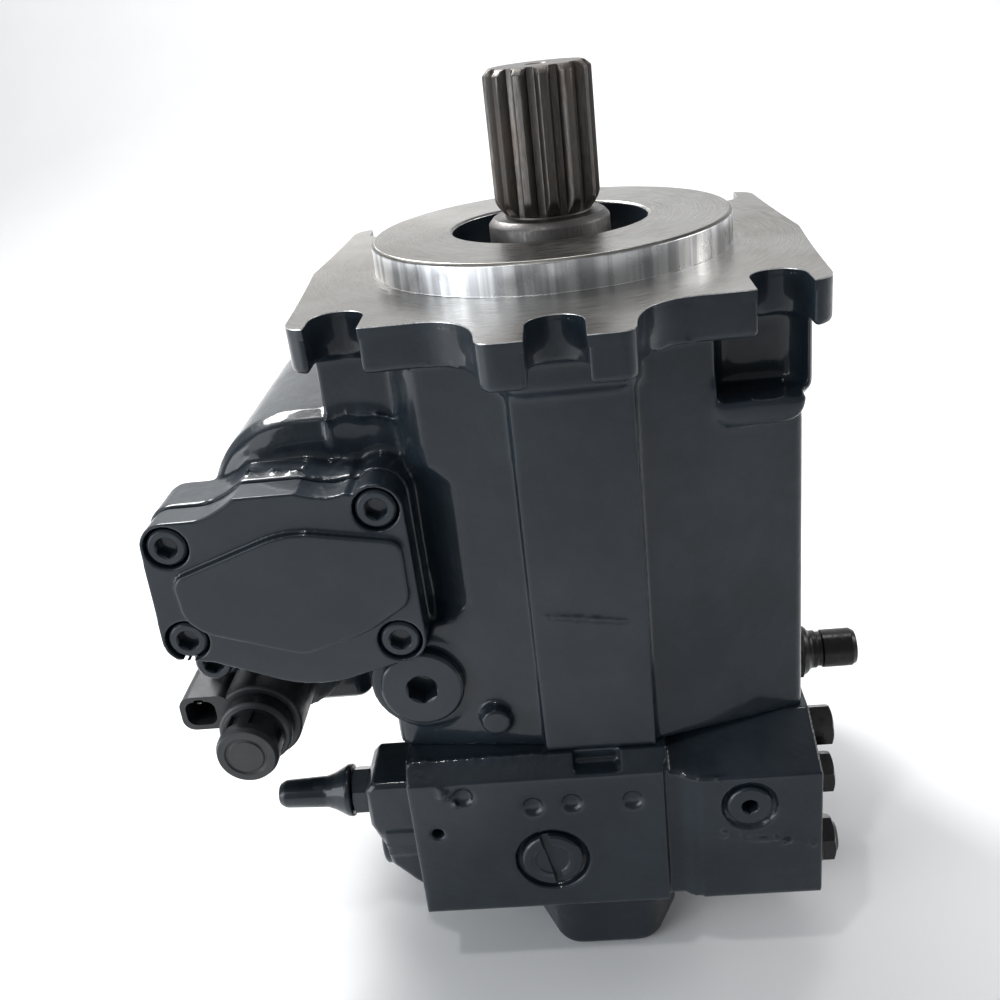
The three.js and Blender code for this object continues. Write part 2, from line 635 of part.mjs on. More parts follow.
// A coil spring along Z with its ends turned flat enough to sit in its seats.
function coil(radius, wire, height, turns) {
  const points = [];
  const count = Math.round(turns * 8);
  for (let i = 0; i <= count; i += 1) {
    const a = (i * 2 * Math.PI) / 8;
    points.push(new THREE.Vector3(radius * Math.cos(a), radius * Math.sin(a), (height * i) / count));
  }
  const path = new THREE.CatmullRomCurve3(points);
  const section = new THREE.Shape();
  section.absarc(0, 0, wire, 0, 2 * Math.PI);
  return solid(new THREE.ExtrudeGeometry(section, {
    steps: count, extrudePath: path, curveSegments: 2, bevelEnabled: false }));
}

function placeRotatingGroup() {
  const block = metal(0x7d7f80, 0.4);
  place('cylinder_block', cylinderBlock(), block);
  for (let i = 0; i < PISTONS; i += 1) {
    const a = (i * 2 * Math.PI) / PISTONS + Math.PI / 2;
    const at = [PITCH_R * Math.cos(a), PITCH_R * Math.sin(a), PIVOT];
    place(`piston_${i + 1}`, pistonBody(), metal(0x9ea1a4, 0.22), group, at);
    place(`slipper_${i + 1}`, slipperBody(), metal(0xa8864a, 0.38), group, at);
  }
  place('retaining_plate', retainingPlate(), metal(0x76797c, 0.35), group, [0, 0, PIVOT]);
  place('block_spring', coil(24, 2, 26, 4), metal(0x5b5d60, 0.4), group, [0, 0, 126.5]);
  const plate = rod('z', BLOCK_R - 0.5, 0, 0, SEAM + 0.05, SEAM + 4.9, 28);
  place('valve_plate', cut(plate, [
    rod('z', 21, 0, 0, SEAM - 1, SEAM + 6, 24),
    extrude(sector(PITCH_R - 5.5, PITCH_R + 5.5, -1.1, 1.1), 'z', SEAM - 1, SEAM + 6),
    extrude(sector(PITCH_R - 5.5, PITCH_R + 5.5, Math.PI - 1.1, Math.PI + 1.1), 'z', SEAM - 1, SEAM + 6),
  ]), metal(0xb08d55, 0.35));
  place('swash_plate', swashPlate(), metal(0x86888a, 0.38), group, [0, 0, PIVOT]);
  for (const [name, x0, x1] of [['cradle_bearing_left', -53, -31], ['cradle_bearing_right', 31, 53]]) {
    const shell = sector(CRADLE_R + 0.4, CRADLE_R + 2.7, Math.PI / 2 - 0.75, Math.PI / 2 + 0.75);
    place(name, extrude(shell, 'x', x0, x1, 0, 1, 10), metal(0xa08a5c, 0.4), group, [0, 0, PIVOT]);
  }
}

// ---- stroking cylinder and control valve --------------------------------------------------
function capScrew(headR, headH, shankR, length, socket) {
  // Head top at y = 0, screw running towards +Y.
  const body = union([
    extrude(circle(headR), 'y', 0, headH, 0.7, 1, 7),
    rod('y', shankR, 0, 0, headH - 0.5, length, 8),
  ]);
  return body.subtract(extrude(hexagon(socket), 'y', -1, headH * 0.6));
}

function strokingPiston() {
  const body = rod('y', STROKE_R, 0, 0, -45, 45, 32);
  return cut(body, [
    box(-7, 30, -7.35, 7.35, -30, 30),
    rod('y', 15, 0, 0, -50, -13, 16),
    box(-18.6, -9.4, -4.5, 4.5, -30, -12),
  ]);
}

function strokingCover() {
  const panel = outline([[-158, 216], [-115, 231], [-104, 232], [-66, 225], [-66, 198], [-85, 186],
    [-112, 178], [-150, 191], [-157, 198]]);
  const body = union([
    extrude(coverOutline(0), 'y', COVER_FRONT, COVER_BACK - 0.02, 0, 1, 3),
    extrude(panel, 'y', COVER_FRONT - 3, COVER_FRONT + 3, 1.6),
    rod('y', STROKE_R - 0.4, STROKE_X, STROKE_Z, COVER_BACK - 1, -79, 24),
    rod('y', 6, STROKE_X, STROKE_Z, -80, -27, 16),
  ]);
  const holes = [];
  for (const [x, z] of COVER_SCREWS) {
    holes.push(rod('y', 9.1, x, z, COVER_FRONT - 5, COVER_FRONT + 8, 16));
    holes.push(rod('y', 5.3, x, z, COVER_FRONT - 5, COVER_BACK + 2, 10));
  }
  return cut(body, holes);
}

function valveBody() {
  const body = union([
    extrude(roundedRect(-168, -106, -30, 58, 7), 'z', 106, 164.7, 3),
    box(-171, -149, -61.9, -25, 151, 171.5),
    rod('y', 24, SPOOL_X, SPOOL_Z, -36, -28),
  ]);
  return cut(body, [
    rod('y', 7.3, SPOOL_X, SPOOL_Z, -37, 50, 16),
    box(-146, -122, -17, 17, 128, 166),
    rod('x', 4.3, 0, LEVER_Z, -152, -116, 12),
    rod('y', 4.3, LUG_SCREW[0], LUG_SCREW[1], -63, -37, 10),
  ]);
}

function feedbackLever() {
  // Cross shaft on the local X axis.
  const upper = STROKE_Z - LEVER_Z - 17;
  return union([
    rod('x', 4, 0, 0, -151, -117, 12),
    box(-134, -127, -3.2, 3.2, 0, upper),
    rod('x', 4, 0, upper, -134, -127, 12),
    box(-143, -137, -2.1, 2.1, -17, 0),
    rod('x', 3.2, 0, -17, -143, -137, 12),
  ]);
}

function controlSpool() {
  const body = union([
    rod('y', 5, 0, 0, -28, 44, 16), rod('y', 7, 0, 0, -28, -16, 16),
    rod('y', 7, 0, 0, -11, 11, 16), rod('y', 7, 0, 0, 24, 40, 16),
  ]);
  return body.subtract(box(-4, 4, -3.6, 3.6, -3.4, 10));
}

function solenoidCoil() {
  const body = union([
    rod('y', 19, ...SOLENOID, -78, -36.1, 28),
    extrude(roundedRect(-180, -157, 128.5, 145.5, 5.5), 'y', -78, -52),
    box(-159, -150, -76, -50, 126, 146),
  ]);
  return cut(body, [
    rod('y', 8.2, ...SOLENOID, -80, -36, 16),
    extrude(roundedRect(-177.5, -164, 131, 143, 4), 'y', -79, -60, 0, 1, 3),
  ]);
}

function solenoidNut() {
  const body = union([
    cone('y', 12.2, 13.5, ...SOLENOID, -102, -99, 20),
    rod('y', 13.5, ...SOLENOID, -99, -86, 20),
    rod('y', 16, ...SOLENOID, -86, -78.2, 20),
    rod('y', 7.7, ...SOLENOID, -80, -38, 16),
  ]);
  const windows = [];
  for (let i = 0; i < 8; i += 1) {
    windows.push(box(-2.8, 2.8, -96, -87.5, 11.2, 17).rotate([0, (i + 0.5) * 45, 0])
      .translate([SOLENOID[0], 0, SOLENOID[1]]));
  }
  return cut(body, windows);
}

function placeControls() {
  const dark = 0x202327;
  place('stroking_piston', strokingPiston(), metal(0x8e9194, 0.3), group, [STROKE_X, 0, STROKE_Z]);
  place('stroking_cover', strokingCover(), paint(0.45));
  COVER_SCREWS.forEach(([x, z], i) => {
    place(`cover_screw_${i + 1}`, capScrew(8, 7.5, 5, 33, 8), paint(0.4), group, [x, COVER_FRONT + 0.5, z]);
  });
  place('lug_screw', capScrew(8, 7.5, 4, 46, 8), paint(0.4), group, [LUG_SCREW[0], LUG_FACE - 7.5, LUG_SCREW[1]]);
  const spring = coil(10.5, 1.5, 32, 5).rotate([-90, 0, 0]);
  place('centring_spring', spring, metal(0x5b5d60, 0.4), group, [STROKE_X, -64, STROKE_Z]);
  place('feedback_lever', feedbackLever(), metal(0x6f7275, 0.4), group, [0, 0, LEVER_Z]);
  place('control_valve_body', valveBody(), paint(0.45));
  place('control_spool', controlSpool(), metal(0x9a9da0, 0.25), group, [SPOOL_X, 0, SPOOL_Z]);
  place('solenoid_coil', solenoidCoil(), plain(dark, 0.5));
  place('solenoid_nut', solenoidNut(), plain(0x2b3036, 0.45));
}

// ---- plugs, adjuster and fittings ---------------------------------------------------------
function placeFittings() {
  place('case_drain_plug', cut(union([
    rod('y', 17.5, ...DRAIN, DRAIN_FACE - 4.8, DRAIN_FACE - 0.05, 32),
    rod('y', 12.9, ...DRAIN, DRAIN_FACE - 1, -75)]),
  [extrude(hexagon(12, ...DRAIN), 'y', DRAIN_FACE - 8, DRAIN_FACE + 5)]), paint(0.4));

  place('slotted_plug', cut(union([
    rod('y', 13.2, ...SLOTTED_PLUG, PLATE_FRONT - 0.6, PLATE_FRONT + 3.2, 28),
    rod('y', 11.7, ...SLOTTED_PLUG, PLATE_FRONT + 3, PLATE_FRONT + 18, 14)]),
  [box(-1.9, 1.9, PLATE_FRONT - 3, PLATE_FRONT + 2.2, -20, 20).rotate([0, 12, 0])
    .translate([SLOTTED_PLUG[0], 0, SLOTTED_PLUG[1]])]), paint(0.4));

  place('hex_socket_plug', cut(union([
    rod('y', 9.4, ...SOCKET_PLUG, PLATE_FRONT - 0.3, PLATE_FRONT + 2, 24),
    rod('y', 7.9, ...SOCKET_PLUG, PLATE_FRONT + 1.5, PLATE_FRONT + 16, 20)]),
  [extrude(hexagon(6.4, ...SOCKET_PLUG), 'y', PLATE_FRONT - 3, PLATE_FRONT + 8)]), paint(0.4));

  const [ay, az] = [-79, 91];
  place('adjusting_screw', union([
    rod('x', 4, ay, az, -134, -64, 16),
    extrude(hexagon(19, ay, az), 'x', -108.9, -101.1)]), metal(0x50555b, 0.45));
  place('adjusting_screw_cap', cut(union([
    cone('x', 5.2, 6.3, ay, az, -143.5, -140.5), cone('x', 6.3, 7, ay, az, -140.5, -120),
    cone('x', 7, 11.6, ay, az, -120, -111.2), rod('x', 11.6, ay, az, -111.2, -109.3)]),
  [rod('x', 4.4, ay, az, -135, -109, 16)]), paint(0.4));
  place('left_plug', cut(union([
    rod('x', 14.5, -78, 66, -98.5, -95.05, 28), rod('x', 10.2, -78, 66, -96, -74, 24)]),
  [extrude(hexagon(10, -78, 66), 'x', -101, -90)]), paint(0.4));

  const right = PLATE_RIGHT + 0.1;
  place('relief_valve', union([
    extrude(hexagon(26, -5, 100), 'x', right + 3, 105), cone('x', 13, 9.6, -5, 100, 104.5, 109),
    rod('x', 9.3, -5, 100, 108, 129.5), cone('x', 9.3, 7.9, -5, 100, 129.5, 131),
    rod('x', 9.1, -5, 100, 80, 98, 24)]), metal(0x1b1a1c, 0.4));
  const plugs = [['side_plug_1', -50, 88, 8.6, 109], ['side_plug_2', -66, 74, 8.4, 106]];
  for (const [name, y, z, r, end] of plugs) {
    place(name, cut(union([
      extrude(hexagon(2 * r, y, z), 'x', right + 2, end), rod('x', r + 1.6, y, z, right, right + 2.2, 28),
      rod('x', 7, y, z, 79, right + 1, 20)]),
    [extrude(hexagon(8, y, z), 'x', end - 5, end + 1)]), metal(0x1b1a1c, 0.45));
  }
  place('bypass_valve', union([
    rod('x', 11, -86, 54, right, 96, 32), extrude(hexagon(18, -86, 54), 'x', 95.9, 102),
    cone('x', 7.5, 6, -86, 54, 101.9, 103.5, 28), rod('x', 8, -86, 54, 79, 95, 20)]), metal(0x1b1a1c, 0.42));
}

place('housing', cut(housingCastings(), housingCavities()), paint(0.42));
place('port_plate', cut(plateCasting(), plateCavities()), paint(0.42));
placeShaftGroup();
placeRotatingGroup();
placeControls();
placeBoostPump();
placeFittings();

export default group;
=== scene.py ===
import math
import random

import bmesh
import bpy
from mathutils import Matrix, Vector


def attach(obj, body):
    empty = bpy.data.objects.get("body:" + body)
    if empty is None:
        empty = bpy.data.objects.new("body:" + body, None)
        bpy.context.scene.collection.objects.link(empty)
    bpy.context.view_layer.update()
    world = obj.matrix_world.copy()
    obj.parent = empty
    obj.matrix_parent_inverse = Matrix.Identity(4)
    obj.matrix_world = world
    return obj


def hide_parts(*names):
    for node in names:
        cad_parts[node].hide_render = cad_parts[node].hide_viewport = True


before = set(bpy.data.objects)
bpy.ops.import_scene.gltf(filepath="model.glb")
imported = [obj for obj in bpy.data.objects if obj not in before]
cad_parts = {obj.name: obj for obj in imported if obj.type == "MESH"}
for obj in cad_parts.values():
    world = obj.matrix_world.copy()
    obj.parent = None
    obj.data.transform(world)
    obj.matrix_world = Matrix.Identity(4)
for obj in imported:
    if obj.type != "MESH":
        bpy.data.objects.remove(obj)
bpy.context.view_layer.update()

MM = 0.001
TINY = 1e-6

# Heights and places of the part, in millimetres: Z is the shaft's axis, Y points to the back.
SEAM = 118                 # where the housing meets the port plate
FLANGE = 308               # the flange's face
FLANGE_THICK = 17.5
PILOT_TOP = FLANGE + 12.7
PILOT_R = 76.2
PILOT_BORE_R = 41.5
SHAFT_TIP = FLANGE + 75
COLLAR_TOP = FLANGE + 16
FOUR_BOLT = 80.8           # bolts of the four-bolt pattern, from both axes
TWO_BOLT = 114.3           # bolts of the two-bolt pattern, from the X axis
SLOT_R = 10.3
PLATE_FRONT = -105.5
PLATE_RIGHT = 93.5
SLOTTED_PLUG = (-21.8, 67.3)
SOCKET_PLUG = (63.2, 90)
STROKE_X, STROKE_Z, STROKE_R = -116, 206, 24
COVER_BACK, COVER_FRONT = -85, -100
COVER_SCREWS = [(-158, 229), (-74, 238), (-73, 180), (-159, 187)]
LUG_SCREW = (-157.5, 165.3)
LUG_FACE = -76
DRAIN = (-68.7, 151.5)
DRAIN_FACE = -88.5
SOLENOID = (-146, 130)
CONNECTOR = (-180, -157, 128.5, 145.5)
# Fittings on the left and right sides, as (y, z).
ADJUSTER = (-79, 91)
LEFT_PLUG, LEFT_PLUG_FACE = (-78, 66), -98.5
RELIEF = (-5, 100)
SIDE_PLUGS = (("side_plug_1", (-50, 88), 8.6, 109), ("side_plug_2", (-66, 74), 8.4, 106))
BYPASS = (-86, 54)
# Most triangles of each remeshed casting.
HOUSING_FACES = 190000
PLATE_FACES = 130000
STROKE_COVER_FACES = 110000
VALVE_FACES = 90000
BOOST_COVER_FACES = 60000
CASTING_VOXEL = 1.0


# ---- mesh helpers -------------------------------------------------------------------------
def along(axis, u, v, h):
    """The point at (u, v) across an axis and h along it."""
    return {"z": (u, v, h), "y": (u, h, v), "x": (h, u, v)}[axis]


def new_object(name, data):
    """A new object in the scene with this mesh, light or camera."""
    obj = bpy.data.objects.new(name, data)
    bpy.context.scene.collection.objects.link(obj)
    return obj


def mesh_object(name, bm):
    """A new object from a bmesh drawn in metres."""
    mesh = bpy.data.meshes.new(name)
    bm.to_mesh(mesh)
    bm.free()
    return new_object(name, mesh)


def to_object(name, bm):
    """A new object from a bmesh drawn in millimetres, its faces pointing out."""
    bmesh.ops.recalc_face_normals(bm, faces=bm.faces)
    bmesh.ops.scale(bm, vec=(MM, MM, MM), verts=bm.verts)
    return mesh_object(name, bm)


def apply(obj):
    """Bakes the object's modifiers into its mesh."""
    graph = bpy.context.evaluated_depsgraph_get()
    graph.update()
    mesh = bpy.data.meshes.new_from_object(obj.evaluated_get(graph))
    obj.modifiers.clear()
    old = obj.data
    obj.data = mesh
    bpy.data.meshes.remove(old)
    return obj


def soften(points, radius, steps=3, closed=False):
    """A 2D line with each corner turned into a small curve."""
    count = len(points)
    line = []
    for i, p in enumerate(points):
        if not closed and i in (0, count - 1):
            line.append(p)
            continue
        here = Vector(p)
        before = Vector(points[i - 1]) - here
        after = Vector(points[(i + 1) % count]) - here
        if before.length < TINY or after.length < TINY:
            line.append(p)
            continue
        a = here + before.normalized() * min(radius, before.length * 0.45)
        b = here + after.normalized() * min(radius, after.length * 0.45)
        for k in range(steps + 1):
            t = k / steps
            q = a * (1 - t) ** 2 + here * 2 * t * (1 - t) + b * t * t
            line.append((q.x, q.y))
    return line


def lathe(name, axis, u, v, profile, round_by=0.5, sides=64, steps=3):
    """A turned solid: profile is (radius, height) pairs from the axis round to the axis."""
    line = soften(profile, round_by, steps) if round_by else profile
    turn = [2 * math.pi * k / sides for k in range(sides)]
    bm = bmesh.new()
    rings = []
    for r, h in line:
        spots = [(u + r * math.cos(a), v + r * math.sin(a)) for a in turn]
        if r < TINY:
            spots = [(u, v)]
        rings.append([bm.verts.new(along(axis, *spot, h)) for spot in spots])
    for low, high in zip(rings, rings[1:]):
        join_rings(bm, low, high)
    if len(rings[0]) > 1:
        join_rings(bm, rings[-1], rings[0])
    return to_object(name, bm)


def join_rings(bm, low, high):
    """Faces between two rings of points, either of which may be a single point."""
    count = max(len(low), len(high))
    for k in range(count):
        n = (k + 1) % count
        if len(low) == 1 and len(high) == 1:
            return
        if len(low) == 1:
            bm.faces.new((low[0], high[n], high[k]))
        elif len(high) == 1:
            bm.faces.new((low[k], low[n], high[0]))
        else:
            bm.faces.new((low[k], low[n], high[n], high[k]))


def prism(name, axis, points, a, b):
    """A straight solid with a 2D outline, from a to b along an axis."""
    bm = bmesh.new()
    ends = [[bm.verts.new(along(axis, u, v, h)) for u, v in points] for h in (a, b)]
    for end in ends:
        bm.faces.new(end)
    join_rings(bm, ends[0], ends[1])
    return to_object(name, bm)


def hexagon(flats, u, v):
    """A hexagon about (u, v), this wide across its flats."""
    radius = flats / math.sqrt(3)
    turn = [math.pi / 6 + 2 * math.pi / 6 * k for k in range(6)]
    return [(u + radius * math.cos(a), v + radius * math.sin(a)) for a in turn]


def rounded_rect(x0, x1, y0, y1, r, steps=6):
    """A rectangle's outline with corners of radius r."""
    points = []
    corners = ((x1 - r, y1 - r), (x0 + r, y1 - r), (x0 + r, y0 + r), (x1 - r, y0 + r))
    for (cx, cy), start in zip(corners, (0, 90, 180, 270)):
        for k in range(steps + 1):
            a = math.radians(start + 90 * k / steps)
            points.append((cx + r * math.cos(a), cy + r * math.sin(a)))
    return points


def arc(cx, cy, r, start, end, steps=12):
    """Points on an arc, both ends included; angles in radians."""
    return [(cx + r * math.cos(start + (end - start) * k / steps),
             cy + r * math.sin(start + (end - start) * k / steps)) for k in range(steps + 1)]


def curve(points, steps=12):
    """Points on a Bezier curve of any degree, without its first point."""
    line = []
    for k in range(1, steps + 1):
        level = [Vector(p) for p in points]
        while len(level) > 1:
            level = [a.lerp(b, k / steps) for a, b in zip(level, level[1:])]
        line.append(tuple(level[0]))
    return line


def combine(obj, others, operation="DIFFERENCE"):
    """Cuts others from obj, or joins them to it, and deletes them."""
    for other in others:
        mod = obj.modifiers.new("combine", "BOOLEAN")
        mod.operation = operation
        mod.solver = "EXACT"
        mod.object = other
    apply(obj)
    for other in others:
        bpy.data.objects.remove(other)
    return obj


def edges(obj, width):
    """Rounds the sharp edges of a drawn part and shades it."""
    bm = bmesh.new()
    bm.from_mesh(obj.data)
    bmesh.ops.remove_doubles(bm, verts=bm.verts, dist=2 * TINY)
    bmesh.ops.dissolve_limit(bm, angle_limit=math.radians(0.6), verts=bm.verts, edges=bm.edges)
    bm.to_mesh(obj.data)
    bm.free()
    mod = obj.modifiers.new("edges", "BEVEL")
    mod.width = width * MM
    mod.segments = 2
    mod.limit_method = "ANGLE"
    mod.angle_limit = math.radians(32)
    mod.use_clamp_overlap = True
    mod.harden_normals = False
    apply(obj)
    return shade(obj)


def smooth(obj):
    for poly in obj.data.polygons:
        poly.use_smooth = True
    return obj


def shade(obj, angle=38, weighted=True):
    """Smooth shading that breaks at edges sharper than the angle."""
    smooth(obj)
    obj.data.set_sharp_from_angle(angle=math.radians(angle))
    if weighted:
        mod = obj.modifiers.new("weighted", "WEIGHTED_NORMAL")
        mod.keep_sharp = True
    return obj


def cad_copy(name, node):
    """A copy of a CAD node's mesh with its split points joined again."""
    bm = bmesh.new()
    bm.from_mesh(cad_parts[node].data)
    bmesh.ops.remove_doubles(bm, verts=bm.verts, dist=TINY)
    return mesh_object(name, bm)


def merge(name, objects):
    """One object with the meshes of several, still overlapping."""
    bm = bmesh.new()
    for obj in objects:
        bm.from_mesh(obj.data)
    merged = mesh_object(name, bm)
    for obj in objects:
        bpy.data.objects.remove(obj)
    return merged


def casting(obj, voxel, passes, faces, soft=None, soft_passes=0):
    """Gives a sharp solid the rounded edges and fillets of a casting.

    soft says how much of the extra smoothing a point (in mm) gets, from 0 to 1.
    """
    remesh = obj.modifiers.new("remesh", "REMESH")
    remesh.mode = "VOXEL"
    remesh.voxel_size = voxel * MM
    apply(obj)
    mod = obj.modifiers.new("smooth", "SMOOTH")
    mod.factor = 0.5
    mod.iterations = passes
    if soft:
        group = obj.vertex_groups.new(name="soft")
        for vert in obj.data.vertices:
            weight = soft(*(vert.co / MM))
            if weight > 0:
                group.add([vert.index], min(weight, 1.0), "REPLACE")
        mod = obj.modifiers.new("soft", "SMOOTH")
        mod.factor = 0.6
        mod.iterations = soft_passes
        mod.vertex_group = "soft"
    apply(obj)
    obj.vertex_groups.clear()
    quads = len(obj.data.polygons)
    if quads * 2 > faces:
        mod = obj.modifiers.new("thin", "DECIMATE")
        mod.ratio = faces / (quads * 2)
        apply(obj)
    return smooth(obj)


def piece(obj, body, material, slot, *nodes):
    """Gives the object its material and body, and lets it stand for CAD nodes."""
    obj.data.materials.clear()
    for one in material if isinstance(material, (list, tuple)) else [material]:
        obj.data.materials.append(one)
    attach(obj, body)
    if nodes:
        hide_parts(*nodes)
    return obj


# ---- materials ----------------------------------------------------------------------------
class Nodes:
    """A material's node tree, with short ways to add to it."""

    def __init__(self, name, color, metallic, roughness, **inputs):
        self.material = bpy.data.materials.new(name)
        self.material.use_nodes = True
        self.tree = self.material.node_tree
        self.shader = self.tree.nodes["Principled BSDF"]
        self.set(self.shader, "Base Color", (*color, 1))
        self.set(self.shader, "Metallic", metallic)
        self.set(self.shader, "Roughness", roughness)
        for key, value in inputs.items():
            self.set(self.shader, key.replace("_", " "), value)
        self.coords = self.add("ShaderNodeTexCoord").outputs["Object"]

    def add(self, kind, **settings):
        node = self.tree.nodes.new(kind)
        for key, value in settings.items():
            setattr(node, key, value)
        return node

    def set(self, node, key, value):
        socket = node.inputs[key]
        if isinstance(value, bpy.types.NodeSocket):
            self.tree.links.new(value, socket)
        else:
            socket.default_value = value

    def math(self, operation, a, b=0.0):
        node = self.add("ShaderNodeMath", operation=operation)
        self.set(node, 0, a)
        self.set(node, 1, b)
        return node.outputs[0]

    def noise(self, scale, detail=4.0, rough=0.55, stretch=(1, 1, 1), distort=0.0):
        """Noise whose grains are about 1/scale metres wide."""
        at = self.add("ShaderNodeMapping")
        self.set(at, "Vector", self.coords)
        self.set(at, "Scale", stretch)
        node = self.add("ShaderNodeTexNoise")
        self.set(node, "Vector", at.outputs[0])
        self.set(node, "Scale", scale)
        self.set(node, "Detail", detail)
        self.set(node, "Roughness", rough)
        self.set(node, "Distortion", distort)
        return node.outputs["Fac"]

    def between(self, value, low, high, out_low=0.0, out_high=1.0):
        """A smooth step from out_low to out_high as the value goes from low to high."""
        node = self.add("ShaderNodeMapRange", interpolation_type="SMOOTHSTEP")
        for key, number in zip(("Value", "From Min", "From Max", "To Min", "To Max"),
                               (value, low, high, out_low, out_high)):
            self.set(node, key, number)
        return node.outputs[0]

    def mix(self, amount, a, b):
        node = self.add("ShaderNodeMix", data_type="RGBA")
        self.set(node, "Factor", amount)
        sockets = [s for s in node.inputs if s.type == "RGBA"]
        for socket, value in zip(sockets, (a, b)):
            if isinstance(value, bpy.types.NodeSocket):
                self.tree.links.new(value, socket)
            else:
                socket.default_value = (*value, 1)
        return [s for s in node.outputs if s.type == "RGBA"][0]

    def bump(self, height, distance, strength=1.0, normal=None):
        node = self.add("ShaderNodeBump")
        self.set(node, "Height", height)
        self.set(node, "Distance", distance)
        self.set(node, "Strength", strength)
        if normal is not None:
            self.set(node, "Normal", normal)
        return node.outputs[0]

    def texture(self, vector, scale):
        """Noise along a vector that is already stretched."""
        node = self.add("ShaderNodeTexNoise")
        self.set(node, "Vector", vector)
        self.set(node, "Scale", scale)
        self.set(node, "Detail", 3.0)
        return node.outputs["Fac"]

    def vector(self, x, y, z=0.0):
        node = self.add("ShaderNodeCombineXYZ")
        for key, value in zip("XYZ", (x, y, z)):
            self.set(node, key, value)
        return node.outputs[0]

    def split(self, vector):
        node = self.add("ShaderNodeSeparateXYZ")
        self.set(node, "Vector", vector)
        return node.outputs

    def color(self, value):
        self.set(self.shader, "Base Color", value)

    def roughness(self, value):
        self.set(self.shader, "Roughness", value)

    def normal(self, value):
        self.set(self.shader, "Normal", value)


PAINT_DARK = (0.0070, 0.0118, 0.0170)
PAINT_LIGHT = (0.0125, 0.0200, 0.0280)
OXIDE_BLACK = (0.012, 0.011, 0.012)
OXIDE_ROUGH = 0.32


def paint(name, cast, gloss):
    """Semi-gloss dark blue-grey paint; cast is how rough the iron under it is."""
    m = Nodes(name, PAINT_DARK, 0.0, gloss,
              Specular_IOR_Level=0.16, Coat_Weight=0.5, Coat_Roughness=0.09)
    cloud = m.between(m.noise(22, 5, 0.6), 0.35, 0.68)
    m.color(m.mix(cloud, PAINT_DARK, PAINT_LIGHT))
    patches = m.noise(60, 4, 0.6, distort=0.4)
    m.roughness(m.between(patches, 0.3, 0.7, gloss - 0.05, gloss + 0.14))
    lumps_at = m.bump(m.noise(150, 3, 0.5), 0.0008 * cast, 0.5)
    sand = m.bump(m.noise(800, 3, 0.65), 0.00016 * cast, 0.55, lumps_at)
    peel = m.bump(m.noise(2600, 2, 0.5), 0.00004, 0.4, sand)
    m.normal(peel)
    return m.material


def machined(name):
    """Cast iron turned on a lathe: fine rings about the shaft axis and a brushed shine; its side
    faces carry a painted reflection, a near-white colour with vertical streaks.
    """
    m = Nodes(name, (0.5, 0.49, 0.46), 1.0, 0.3, Anisotropic=0.55)
    x, y, z = m.split(m.coords)
    radius = m.math("SQRT", m.math("ADD", m.math("MULTIPLY", x, x), m.math("MULTIPLY", y, y)))
    angle = m.math("ARCTAN2", y, x)
    height = m.math("MULTIPLY", z, 0.02)
    marks = m.texture(m.vector(radius, m.math("MULTIPLY", angle, 0.002), height), 2600.0)
    streak = m.texture(m.vector(m.math("MULTIPLY", angle, 0.07), height), 190.0)
    facing = m.split(m.add("ShaderNodeNewGeometry").outputs["Normal"])["Z"]
    # Painted reflection: faces that look sideways get a far lighter colour than the top, streaked
    # light and dark up and down.
    side = m.between(m.math("ABSOLUTE", facing), 0.3, 0.7, 1.0, 0.0)
    flat = m.mix(streak, (0.28, 0.273, 0.258), (0.22, 0.214, 0.202))
    painted_reflection_streaks = m.mix(m.between(streak, 0.40, 0.60), (1.0, 1.0, 1.0), (0.58, 0.58, 0.6))
    stain = m.between(m.noise(28, 5, 0.6), 0.38, 0.7, 0.0, 0.8)
    m.color(m.mix(side, m.mix(stain, flat, (0.185, 0.172, 0.152)), painted_reflection_streaks))
    m.roughness(m.between(marks, 0.3, 0.75, 0.24, 0.40))
    m.normal(m.bump(marks, 0.00003, 0.5))
    tangent = m.add("ShaderNodeVectorMath", operation="NORMALIZE")
    m.set(tangent, 0, m.vector(m.math("MULTIPLY", y, -1.0), x))
    m.set(m.shader, "Tangent", tangent.outputs[0])
    return m.material


def steel(name, color, rough, stain=(0.16, 0.12, 0.09), stained=0.35, stretch=(1, 1, 0.12)):
    """Bare steel with fine tool marks and some oil staining."""
    m = Nodes(name, color, 1.0, rough)
    marks = m.noise(1500, 3, 0.6, stretch)
    dirt = m.between(m.noise(45, 5, 0.65), 0.45, 0.75, 0.0, stained)
    worn = m.mix(m.between(marks, 0.3, 0.7), color, tuple(c * 0.72 for c in color))
    m.color(m.mix(dirt, worn, stain))
    m.roughness(m.between(marks, 0.25, 0.75, rough - 0.07, rough + 0.12))
    m.normal(m.bump(marks, 0.00003, 0.5))
    return m.material


def plastic(name, color, rough, grain=1800):
    """Moulded plastic or rubber with a fine grain."""
    m = Nodes(name, color, 0.0, rough, IOR=1.48)
    fine = m.noise(grain, 2, 0.5)
    m.color(m.mix(m.between(m.noise(90, 3), 0.3, 0.7), color, tuple(c * 1.5 for c in color)))
    m.roughness(m.between(m.noise(140, 3), 0.3, 0.7, rough - 0.06, rough + 0.1))
    m.normal(m.bump(fine, 0.00005, 0.4))
    return m.material


def oxide(name):
    """Black oxide on steel, worn thin in places."""
    m = Nodes(name, OXIDE_BLACK, 0.35, OXIDE_ROUGH)
    wear = m.between(m.noise(260, 5, 0.7), 0.62, 0.8, 0.0, 0.35)
    m.color(m.mix(wear, OXIDE_BLACK, (0.09, 0.085, 0.08)))
    m.roughness(m.between(m.noise(180, 4), 0.3, 0.7, OXIDE_ROUGH - 0.08, OXIDE_ROUGH + 0.14))
    m.normal(m.bump(m.noise(1200, 3), 0.00006, 0.4))
    return m.material


def floor_material():
    """A plain pale floor, hardly mottled."""
    m = Nodes("floor", (0.86, 0.86, 0.86), 0.0, 0.75)
    m.color(m.mix(m.between(m.noise(3, 3), 0.3, 0.7), (0.86, 0.86, 0.86), (0.84, 0.84, 0.845)))
    m.set(m.shader, "Specular IOR Level", 0.15)
    return m.material


